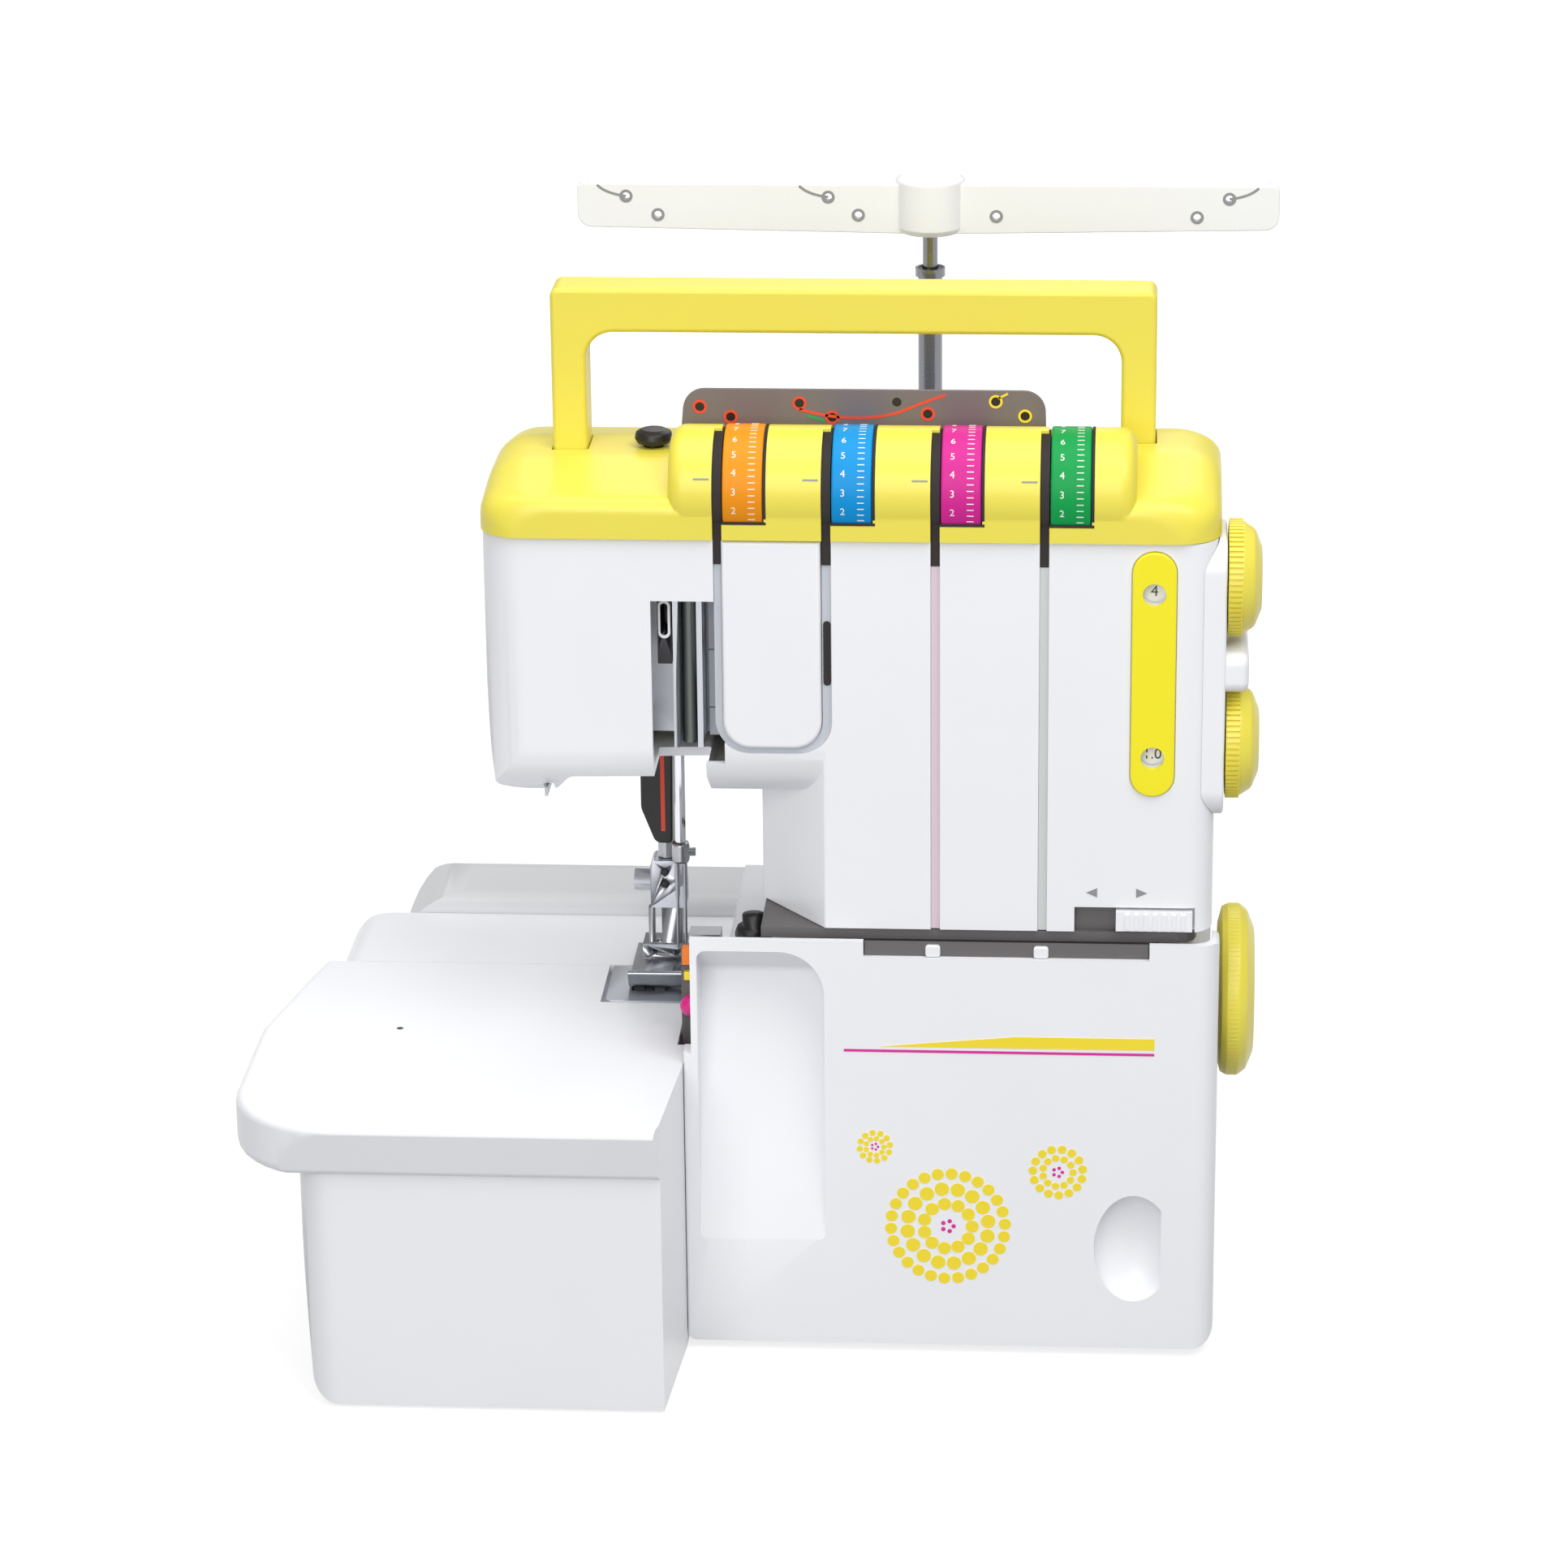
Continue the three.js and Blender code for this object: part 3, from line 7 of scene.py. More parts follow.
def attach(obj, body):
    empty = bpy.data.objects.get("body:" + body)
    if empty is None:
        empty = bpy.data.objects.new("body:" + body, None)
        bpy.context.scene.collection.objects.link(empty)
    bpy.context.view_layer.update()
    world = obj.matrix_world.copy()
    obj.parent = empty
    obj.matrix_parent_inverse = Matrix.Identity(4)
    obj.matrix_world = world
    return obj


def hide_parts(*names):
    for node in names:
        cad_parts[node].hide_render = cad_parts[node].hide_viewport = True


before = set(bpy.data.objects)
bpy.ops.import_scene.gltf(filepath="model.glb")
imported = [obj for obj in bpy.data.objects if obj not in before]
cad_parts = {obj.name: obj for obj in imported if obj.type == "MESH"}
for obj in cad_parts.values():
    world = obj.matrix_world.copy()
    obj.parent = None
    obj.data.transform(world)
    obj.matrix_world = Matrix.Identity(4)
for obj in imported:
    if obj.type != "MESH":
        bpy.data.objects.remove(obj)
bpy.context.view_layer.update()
print("frame loaded:", len(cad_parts), "nodes")

mm = 0.001
arcSteps = 9  # facets in a quarter circle
scene = bpy.context.scene


# Colours and materials

def toLinear(hexColour):
    channels = [int(hexColour[i:i + 2], 16) / 255 for i in (1, 3, 5)]
    return [c / 12.92 if c <= 0.04045 else ((c + 0.055) / 1.055) ** 2.4 for c in channels] + [1]


def addNode(tree, kind, settings=None, inputs=None):
    node = tree.nodes.new(kind)
    for name, value in (settings or {}).items():
        setattr(node, name, value)
    for name, value in (inputs or {}).items():
        if isinstance(value, bpy.types.NodeSocket):
            tree.links.new(value, node.inputs[name])
        else:
            node.inputs[name].default_value = value
    return node


def newObject(name, data):
    shape = bpy.data.objects.new(name, data)
    scene.collection.objects.link(shape)
    return shape


def newMaterial(name, shader):
    material = bpy.data.materials.new(name)
    material.use_nodes = True
    tree = material.node_tree
    tree.nodes.clear()
    principled = addNode(tree, "ShaderNodeBsdfPrincipled", inputs=shader)
    addNode(tree, "ShaderNodeOutputMaterial", inputs={"Surface": principled.outputs[0]})
    place = addNode(tree, "ShaderNodeTexCoord").outputs["Object"]
    return material, tree, principled, place


def mottle(tree, principled, place, colour, spread, patch):
    noise = addNode(tree, "ShaderNodeTexNoise", inputs={"Vector": place, "Scale": 1 / patch, "Detail": 3})
    linear = toLinear(colour)[:3]
    mix = addNode(tree, "ShaderNodeMix", {"data_type": "RGBA"}, {
        "Factor": noise.outputs["Fac"], 6: [c * (1 - spread) for c in linear] + [1],
        7: [min(1, c * (1 + spread)) for c in linear] + [1]})
    tree.links.new(mix.outputs[2], principled.inputs["Base Color"])


def roughen(tree, principled, height, least, most, strength, depth):
    rough = addNode(tree, "ShaderNodeMapRange", inputs={"Value": height, "To Min": least, "To Max": most})
    bump = addNode(tree, "ShaderNodeBump", inputs={
        "Height": height, "Strength": strength, "Distance": depth * mm})
    tree.links.new(rough.outputs[0], principled.inputs["Roughness"])
    tree.links.new(bump.outputs[0], principled.inputs["Normal"])


# Grain and depth of the surface texture are in millimetres
def moulded(name, colour, roughness, grain=0.5, depth=0.02, ior=1.53, gloss=0.5):
    material, tree, principled, place = newMaterial(name, {"IOR": ior, "Specular IOR Level": gloss})
    mottle(tree, principled, place, colour, 0.02, 0.04)
    sparkle = addNode(tree, "ShaderNodeTexNoise", inputs={
        "Vector": place, "Scale": 1 / (grain * mm), "Detail": 2})
    roughen(tree, principled, sparkle.outputs["Fac"], roughness - 0.05, roughness + 0.05, 0.35, depth)
    return material


def metal(name, colour, roughness, grain, stretch, depth):
    material, tree, principled, place = newMaterial(name, {"Metallic": 1})
    mottle(tree, principled, place, colour, 0.03, 0.02)
    mapping = addNode(tree, "ShaderNodeMapping", inputs={"Vector": place, "Scale": stretch})
    streak = addNode(tree, "ShaderNodeTexNoise", inputs={
        "Vector": mapping.outputs[0], "Scale": 1 / (grain * mm), "Detail": 3})
    roughen(tree, principled, streak.outputs["Fac"], roughness * 0.7, roughness * 1.3, 0.3, depth)
    return material


whiteAbs = moulded("whiteAbs", "#F3F4F7", 0.3)  # satin moulded ABS: soft highlights, spark-eroded grain
greyAbs = moulded("greyAbs", "#D9DBDD", 0.42, 0.5, 0.03)  # duller ABS of the base and the rear cover
yellowAbs = moulded("yellowAbs", "#EDDF50", 0.34)  # through-coloured ABS, satin
deckAbs = moulded("deckAbs", "#625F5F", 0.5, 0.6, 0.05)  # dark grained ABS, hides lint
blackAcetal = moulded("blackAcetal", "#1B1A1C", 0.38, 0.4, 0.02, 1.48)  # moulded acetal, slightly shiny
shadowBlack = moulded("shadowBlack", "#1C1210", 0.7)  # dull black, painted shadow inside the thread slits, the dial openings and the lobe's eye slot
feetRubber = moulded("feetRubber", "#232324", 0.85, 0.4, 0.06, 1.52)  # vulcanised rubber, no gloss
dialColours = {"dialOrange": "#EC920F", "dialBlue": "#0090D4",
               "dialMagenta": "#D02590", "dialGreen": "#009A49"}  # dyed-through dull ABS
dialAbs = [moulded(name, colour, 0.42, gloss=0.2) for name, colour in dialColours.items()]
orangeAbs = moulded("orangeAbs", "#F07C1E", 0.3, 0.4, 0.01)
magentaAbs = moulded("magentaAbs", "#E21B8A", 0.3, 0.4, 0.01)
inks = {"printWhite": "#F2EEE6", "printDark": "#3A3838", "printGrey": "#8F9094", "printYellow": "#F7DF2E",
        "printMagenta": "#D8289A", "printRed": "#E8472B", "printGreen": "#1F9D55"}
printWhite, printDark, printGrey, printYellow, printMagenta, printRed, printGreen = [
    moulded(name, colour, 0.45, 0.4, 0.01) for name, colour in inks.items()]  # pad-printed enamel ink
chromePlate = metal("chromePlate", "#E6E7EA", 0.1, 3, (1, 1, 1), 0.002)  # bright nickel-chrome plating
groundSteel = metal("groundSteel", "#B4B6BA", 0.3, 0.6, (1, 1, 8), 0.01)  # ground spring steel, cross grain
castAlloy = metal("castAlloy", "#9A9CA0", 0.5, 0.8, (1, 1, 1), 0.08)  # die-cast aluminium, pebbly skin
tubeSteel = metal("tubeSteel", "#85868B", 0.26, 0.8, (1, 1, 6), 0.004)  # drawn tube, polished lengthwise
brushedPlate = metal("brushedPlate", "#C3C6CC", 0.42, 0.5, (1, 1, 12), 0.006)  # folded sheet, brushed upright
paleSteel = metal("paleSteel", "#D3D4DC", 0.36, 0.6, (1, 1, 1), 0.01)  # matt nickel on the sewing parts
print("materials ready")


# Shapes, in millimetres until they are finished

def moveInwards(corners, depth):
    count = len(corners)
    area = sum(corners[i - 1][0] * corners[i][1] - corners[i][0] * corners[i - 1][1] for i in range(count))
    turn = 1 if area > 0 else -1
    moved = []
    for i, corner in enumerate(corners):
        before, after = corners[i - 1], corners[(i + 1) % count]
        a = Vector((corner[0] - before[0], corner[1] - before[1])).normalized()
        b = Vector((after[0] - corner[0], after[1] - corner[1])).normalized()
        inA = Vector((-a.y, a.x)) * turn
        inB = Vector((-b.y, b.x)) * turn
        step = (inA + inB) * (depth / max(0.05, 1 + inA.dot(inB)))
        radius = corner[2] if len(corner) > 2 else 0
        if radius > 0:
            convex = (a.x * b.y - a.y * b.x) * turn > 0
            radius = max(radius - depth, 0.05) if convex else radius + depth
        moved.append((corner[0] + step.x, corner[1] + step.y, radius))
    return moved


def rounded(corners, steps=arcSteps, closed=True):
    points = []
    count = len(corners)
    for i, corner in enumerate(corners):
        here = Vector(corner[:2])
        radius = corner[2] if len(corner) > 2 else 0
        atEnd = not closed and i in (0, count - 1)
        if radius <= 0 or atEnd:
            points.append(here)
            continue
        back = Vector(corners[i - 1][:2]) - here
        ahead = Vector(corners[(i + 1) % count][:2]) - here
        room = 0.49 * min(back.length, ahead.length)
        back.normalize()
        ahead.normalize()
        half = math.acos(max(-1, min(1, back.dot(ahead)))) / 2
        if math.pi / 2 - half < 1e-3:
            points.append(here)
            continue
        reach = min(radius / math.tan(half), room)
        arcRadius = reach * math.tan(half)
        centre = here + (back + ahead).normalized() * (arcRadius / math.sin(half))
        start = here + back * reach - centre
        end = here + ahead * reach - centre
        turn = math.atan2(start.x * end.y - start.y * end.x, start.dot(end))
        facets = max(1, math.ceil(abs(turn) / (math.pi / 2) * steps - 1e-4))
        points += [centre + Matrix.Rotation(turn * k / facets, 2) @ start for k in range(facets + 1)]
    return points


def place3(axis, u, v, w):
    return {"z": (u, v, w), "y": (u, w, v), "x": (w, u, v)}[axis]


def fromEdit(name, edit, change=Matrix()):
    mesh = bpy.data.meshes.new(name)
    edit.to_mesh(mesh)
    edit.free()
    mesh.transform(change)
    return newObject(name, mesh)


def meshObject(name, vertices, faces):
    mesh = bpy.data.meshes.new(name)
    mesh.from_pydata(vertices, [], faces)
    edit = bmesh.new()
    edit.from_mesh(mesh)
    bmesh.ops.remove_doubles(edit, verts=edit.verts, dist=1e-4)
    bmesh.ops.recalc_face_normals(edit, faces=edit.faces)
    return fromEdit(name, edit)


def layered(axis, layers):
    vertices = [place3(axis, p.x, p.y, w) for points, w in layers for p in points]
    count = len(layers[0][0])
    faces = []
    for k in range(len(layers) - 1):
        for i in range(count):
            j = (i + 1) % count
            faces.append((k * count + i, k * count + j, (k + 1) * count + j, (k + 1) * count + i))
    faces.append(tuple(range(count)))
    faces.append(tuple((len(layers) - 1) * count + i for i in range(count)))
    return meshObject("prism", vertices, faces)


def prism(axis, corners, low, high, roundLow=0, roundHigh=0, steps=arcSteps, rimSteps=5):
    layers = []
    for end, radius, sign in ((low, roundLow, 1), (high, roundHigh, -1)):
        rim = [(rounded(corners, steps), end)] if radius <= 0 else []
        for k in range(rimSteps + 1 if radius > 0 else 0):
            t = k / rimSteps * math.pi / 2
            inset = radius * (1 - math.sin(t))
            points = rounded(moveInwards(corners, inset) if inset > 1e-6 else corners, steps)
            rim.append((points, end + sign * radius * (1 - math.cos(t))))
        layers += rim[::sign]
    return layered(axis, layers)


def rectangle(u0, u1, v0, v1, *radii):
    radii = radii or (0,)  # one for all four corners, or one for each
    corners = ((u0, v0), (u1, v0), (u1, v1), (u0, v1))
    return [(*corner, radii[k % len(radii)]) for k, corner in enumerate(corners)]


def box(x0, x1, y0, y1, z0, z1, edge=0):
    return prism("z", rectangle(x0, x1, y0, y1, edge), z0, z1, edge, edge, 4, 3)


def turned(axis, centre, profile, steps=48, arcs=5, closed=False):
    points = rounded(profile, arcs, closed)
    rows, vertices = [], []
    for p in points:
        if p.x < 1e-6:
            rows.append([len(vertices)])
            vertices.append(place3(axis, centre[0], centre[1], p.y))
            continue
        rows.append(list(range(len(vertices), len(vertices) + steps)))
        for k in range(steps):
            t = 2 * math.pi * k / steps
            u, v = centre[0] + p.x * math.cos(t), centre[1] + p.x * math.sin(t)
            vertices.append(place3(axis, u, v, p.y))
    faces = []
    pairs = list(zip(rows, rows[1:])) + ([(rows[-1], rows[0])] if closed else [])
    for a, b in pairs:
        for k in range(steps):
            j = (k + 1) % steps
            if len(a) == 1 and len(b) == 1:
                break
            if len(a) == 1:
                faces.append((a[0], b[k], b[j]))
            elif len(b) == 1:
                faces.append((a[k], a[j], b[0]))
            else:
                faces.append((a[k], a[j], b[j], b[k]))
    return meshObject("turned", vertices, faces)


def rod(axis, centre, radius, low, high, edge=0, steps=32):
    return turned(axis, centre, [(0, low), (radius, low, edge), (radius, high, edge), (0, high)], steps)


def twin(shape):
    return newObject(shape.name, shape.data.copy())


def combine(shape, others, operation):
    for other in others:
        change = shape.modifiers.new("combine", "BOOLEAN")
        change.solver = "MANIFOLD"
        change.operation = operation
        change.object = other
        other.hide_render = True
    applied(shape)
    for other in others:
        bpy.data.objects.remove(other)
    return shape


def applied(shape):
    bpy.context.view_layer.update()
    graph = bpy.context.evaluated_depsgraph_get()
    mesh = bpy.data.meshes.new_from_object(shape.evaluated_get(graph))
    shape.modifiers.clear()
    shape.data = mesh
    return shape


def cut(shape, *others):
    return combine(shape, others, "DIFFERENCE")


def joined(shape, *others):
    return combine(shape, others, "UNION")


def common(shape, *others):
    return combine(shape, others, "INTERSECT")


def finish(name, shape, material, body, nodes=(), slotName=None, angle=32, scale=True):
    shape.name = name
    shape.data.name = name
    if scale:
        shape.data.transform(Matrix.Scale(mm, 4))
    edit = bmesh.new()
    edit.from_mesh(shape.data)
    bmesh.ops.remove_doubles(edit, verts=edit.verts, dist=2e-6)
    bmesh.ops.dissolve_degenerate(edit, dist=1e-6, edges=edit.edges)
    edit.to_mesh(shape.data)
    edit.free()
    if material:
        shape.data.materials.clear()
        shape.data.materials.append(material)
    shape.data.shade_smooth()
    shape.data.set_sharp_from_angle(angle=math.radians(angle))
    weight = shape.modifiers.new("weight", "WEIGHTED_NORMAL")
    weight.keep_sharp = True
    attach(shape, body)
    if nodes:
        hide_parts(*nodes)
    return shape


def merged(shape, *others):
    edit = bmesh.new()
    for part in (shape, *others):
        edit.from_mesh(part.data)
    edit.to_mesh(shape.data)
    edit.free()
    for other in others:
        bpy.data.objects.remove(other)
    return shape


# Raised print: flat letters, rings and marks that stand a tenth of a millimetre off the plastic

def letters(text, size, raised=0.1):
    curve = bpy.data.curves.new("letters", "FONT")
    curve.body = text
    curve.size = size
    curve.align_x = "CENTER"
    curve.align_y = "CENTER"
    curve.resolution_u = 3
    curve.extrude = raised
    shape = newObject("letters", curve)
    bpy.context.view_layer.update()
    mesh = bpy.data.meshes.new_from_object(shape.evaluated_get(bpy.context.evaluated_depsgraph_get()))
    bpy.data.objects.remove(shape)
    return newObject("letters", mesh)


def onDrum(shape, x, centre, radius, angle):
    for vertex in shape.data.vertices:
        u, v, w = vertex.co
        turn = angle + v / radius
        reach = radius + w
        vertex.co = (x + u, centre[0] - reach * math.cos(turn), centre[1] + reach * math.sin(turn))
    return shape


def patch(width, height, raised=0.1, cuts=6):
    edit = bmesh.new()
    bmesh.ops.create_grid(edit, x_segments=1, y_segments=cuts, size=0.5)
    whole = bmesh.ops.extrude_face_region(edit, geom=edit.faces[:])
    lifted = [g for g in whole["geom"] if isinstance(g, bmesh.types.BMVert)]
    bmesh.ops.translate(edit, vec=(0, 0, 1), verts=lifted)
    bmesh.ops.recalc_face_normals(edit, faces=edit.faces)
    return fromEdit("patch", edit, Matrix.Diagonal((width, height, raised, 1)))


def ring(centre, inner, outer, y, raised=0.12):
    near, far = y - raised, y + raised
    return turned("y", centre, [(inner, near), (outer, near), (outer, far), (inner, far)], 28, 3, True)


def ribbon(points, width, y, raised=0.12):
    side = []
    for i, point in enumerate(points):
        before, after = Vector(points[max(0, i - 1)]), Vector(points[min(len(points) - 1, i + 1)])
        along = (after - before).normalized()
        side.append((Vector(point), Vector((-along.y, along.x)) * width / 2))
    corners = [tuple(p + n) for p, n in side] + [tuple(p - n) for p, n in side[::-1]]
    return prism("y", corners, y - raised, y + raised)


def bend(start, pull, end, steps=8):
    a, b, c = Vector(start), Vector(pull), Vector(end)
    return [tuple(a.lerp(b, k / steps).lerp(b.lerp(c, k / steps), k / steps)) for k in range(steps + 1)]


# Patterns that repeat, made with Geometry Nodes

def patternTree(name, ringShaped):
    tree = bpy.data.node_groups.new(name, "GeometryNodeTree")
    wanted = [("Count", "Int"), ("Piece Size", "Vector"), ("Round", "Bool"), ("Turn", "Vector"),
              ("Centre", "Vector"), ("Material", "Material")]
    if ringShaped:
        wanted += [("Radius", "Float"), ("Start", "Float"), ("Sweep", "Float")]
    else:
        wanted += [("Step", "Vector")]
    for socketName, kind in wanted:
        tree.interface.new_socket(socketName, in_out="INPUT", socket_type="NodeSocket" + kind)
    tree.interface.new_socket("Geometry", in_out="OUTPUT", socket_type="NodeSocketGeometry")
    given = addNode(tree, "NodeGroupInput").outputs
    line = addNode(tree, "GeometryNodeMeshLine", inputs={"Count": given["Count"], "Offset": (0, 0, 0)})
    cube = addNode(tree, "GeometryNodeMeshCube", inputs={"Size": given["Piece Size"]})
    sizes = addNode(tree, "ShaderNodeSeparateXYZ", inputs={"Vector": given["Piece Size"]})
    half = addNode(tree, "ShaderNodeMath", {"operation": "MULTIPLY"}, {0: sizes.outputs["X"], 1: 0.5})
    disc = addNode(tree, "GeometryNodeMeshCylinder", inputs={
        "Vertices": 20, "Radius": half.outputs[0], "Depth": sizes.outputs["Z"]})
    piece = addNode(tree, "GeometryNodeSwitch", {"input_type": "GEOMETRY"}, {
        "Switch": given["Round"], "False": cube.outputs["Mesh"], "True": disc.outputs["Mesh"]})
    index = addNode(tree, "GeometryNodeInputIndex").outputs[0]
    if ringShaped:
        share = addNode(tree, "ShaderNodeMath", {"operation": "DIVIDE"}, {0: index, 1: given["Count"]})
        angle = addNode(tree, "ShaderNodeMath", {"operation": "MULTIPLY_ADD"}, {
            0: share.outputs[0], 1: given["Sweep"], 2: given["Start"]})
        arm = addNode(tree, "ShaderNodeCombineXYZ", inputs={"X": given["Radius"]})
        place = addNode(tree, "ShaderNodeVectorRotate", {"rotation_type": "Z_AXIS"}, {
            "Vector": arm.outputs[0], "Angle": angle.outputs[0]}).outputs[0]
        spin = {"Rotation": addNode(tree, "ShaderNodeCombineXYZ", inputs={"Z": angle.outputs[0]}).outputs[0]}
    else:
        place = addNode(tree, "ShaderNodeVectorMath", {"operation": "SCALE"}, {
            "Vector": given["Step"], "Scale": index}).outputs[0]
        spin = {}
    spread = addNode(tree, "GeometryNodeSetPosition", inputs={"Geometry": line.outputs[0], "Position": place})
    copies = addNode(tree, "GeometryNodeInstanceOnPoints", inputs={
        "Points": spread.outputs[0], "Instance": piece.outputs[0], **spin})
    placed = addNode(tree, "GeometryNodeTransform", inputs={
        "Geometry": copies.outputs[0], "Translation": given["Centre"], "Rotation": given["Turn"]})
    real = addNode(tree, "GeometryNodeRealizeInstances", inputs={"Geometry": placed.outputs[0]})
    painted = addNode(tree, "GeometryNodeSetMaterial", inputs={
        "Geometry": real.outputs[0], "Material": given["Material"]})
    addNode(tree, "NodeGroupOutput", inputs={"Geometry": painted.outputs[0]})
    return tree


ringTree = patternTree("ringPattern", True)
rowTree = patternTree("rowPattern", False)
alongX = (0, math.pi / 2, 0)  # turns a pattern's axis onto X
towardsFront = (math.pi / 2, 0, 0)


def pattern(tree, material, **inputs):
    carrier = newObject("pattern", bpy.data.meshes.new("pattern"))
    change = carrier.modifiers.new("pattern", "NODES")
    change.node_group = tree
    inputs["material"] = material
    for socket in tree.interface.items_tree:
        key = socket.name.replace(" ", "").lower()
        if socket.in_out == "INPUT" and key in inputs:
            change[socket.identifier] = inputs[key]
    return applied(carrier)


def around(material, count, radius, size, centre, start=0.0, turn=alongX, disc=False):
    return pattern(ringTree, material, count=count, radius=float(radius), start=start, sweep=math.tau,
                   round=disc, piecesize=size, turn=turn, centre=centre)


# Shared places of the machine, in millimetres
gap, wall, casingWall = 0.3, 2.5, 3
left, right, front, back = -87.6, 147, -83, 48
baseZ, baseTop, baseLeft, baseFront = 8.3, 145, -14, -62
bedTop, bedFront = 102, 1
columnZ, headBottom, headBack, casingTop, coverTop = 149.1, 193.4, 29.6, 280, 301.5
slits, slitWidth = (-11.3, 23.2, 57.7, 92.2), 3
dialWidth, dialRadius, dialPlace = 12.8, 19.5, (-66, 293.3)
dialX = [x + slitWidth / 2 + gap for x in slits]
windowX, knobY, stitchZ, feedZ = 127, -64, 263.5, 209
regulatorPlace, wheelPlace = (-35, -39), (-40, 113)
shaftHole, dialBore, windowHole = 3.3, 3.4, 3.75


# Lower casing, bed and motor cover

casing = {"sillRight": 3.6, "sillTop": 122, "sillFront": -68, "corner": 6,
          "deckSeat": (8, 138, -46, 42, 139, 146), "knifeGap": (-15, -10, 3, 30, 0, 98),
          "beltGap": (58, 78, 43, 53, 30, 115), "inletWell": (141, 148, 17.7, 40.3, 22.7, 68.3)}


def casingBlock(inset):
    edge = right - inset
    top = baseTop - (wall if inset else 0)
    bottom = baseZ - (1 if inset else 0)
    corner = max(casing["corner"] - inset, 1)
    a, y = casing["sillRight"] + inset, baseFront + inset
    tall = prism("z", [(a, y, 1), (edge - 3.5, y, corner), (edge - 3.5, y + 8), (edge, y + 8),
                       (edge, back - inset, corner), (a, back - inset)], bottom, top)
    sill = prism("z", rectangle(baseLeft + inset, a + 1 + inset, casing["sillFront"] + inset,
                                back - inset, 0.6), bottom, casing["sillTop"] - inset, 0, 0 if inset else 0.8)
    return joined(tall, sill)


lower = cut(casingBlock(0), casingBlock(wall),
            *[box(*casing[k]) for k in ("deckSeat", "knifeGap", "beltGap")],
            rod("x", wheelPlace, 4.6, 137, 148), box(*casing["inletWell"]))
finish("lowerCasing", lower, whiteAbs, "body", ["lower_casing"], "white_casing")

bed = {"left": -151, "cornerBack": 14, "cornerTop": 8, "ledge": (-140.8, -62, -4, 2, 76, 79.7),
       "hook": (-140.8, -62, -4, -2.6, 79.6, 81.5), "looperGap": (-60, -14, 0, 4.5, 20, 98.5)}


def bedBlock(inset):
    a, b = bed["left"] + inset, baseLeft - gap + inset
    y0, y1, z0, z1 = bedFront + inset, back - inset, baseZ, bedTop - inset
    plan = rectangle(a, b, y0, y1, 3, 0, 0, bed["cornerBack"] - inset)
    edge = rectangle(a, b, z0 - inset, z1, 0, 0, 0, bed["cornerTop"] - inset)
    return common(prism("z", plan, z0 - (1 if inset else 0), z1), prism("y", edge, -10, back + 10))


arm = joined(cut(bedBlock(0), bedBlock(wall)), box(*bed["ledge"]), box(*bed["hook"]))
arm = cut(arm, box(*bed["looperGap"]))
finish("freeArmBed", arm, whiteAbs, "body", ["free_arm_bed"], "white_casing")

hump = {"left": -138, "right": 120, "back": 100, "top": 107.6, "slots": 7, "firstSlot": -34, "pitch": 10}


def humpBlock(inset):
    y0, y1, z0, z1 = back + gap - inset, hump["back"] - inset, baseZ - inset, hump["top"] - inset
    a, b = hump["left"] + inset, hump["right"] - inset
    side = rectangle(y0, y1, z0, z1, 0, 0, 20 - inset, 0 if inset else 8)
    plan = rectangle(a, b, y0 - 1, y1, 0, 0, 12 - inset, 24 - inset)
    face = rectangle(a, b, 0, z1, 0, 0, 14 - inset, 24 - inset)
    return common(prism("x", side, a, b), prism("z", plan, 0, 200), prism("y", face, 0, 200))


lip = common(humpBlock(0), box(-200, baseLeft - gap, back + gap, back + gap + wall, 90, hump["top"]))
cover = joined(cut(humpBlock(0), humpBlock(wall)), lip)
slots = []
for i in range(hump["slots"]):
    x = hump["firstSlot"] + i * hump["pitch"]
    slots.append(prism("y", rectangle(x, x + 3, 66, 92, 1.4), 94, 101))
finish("motorHump", cut(cover, *slots), greyAbs, "body", ["motor_cover"], "grey_white")
print("base and bed ready")


# Head and column

head = {"chamferRight": 22, "chamferDepth": 28, "parting": -18, "sweep": 9, "chin": 3.4,
        "guardWindow": (-33, -9.8, -90, -60, 204.6, 259.5),
        "barWindow": (-33, -16, -90, -60, headBottom - 4, 210),
        "chinSlot": (-69.4, -66, -90, -58, headBottom - 6, headBottom + 2),
        "sliderSlot": (102.6, 141.4, -90, -79.7, 148, 157.6),
        "barOpening": (-50, -16, -34, 14, headBottom - 4, headBottom + 16)}


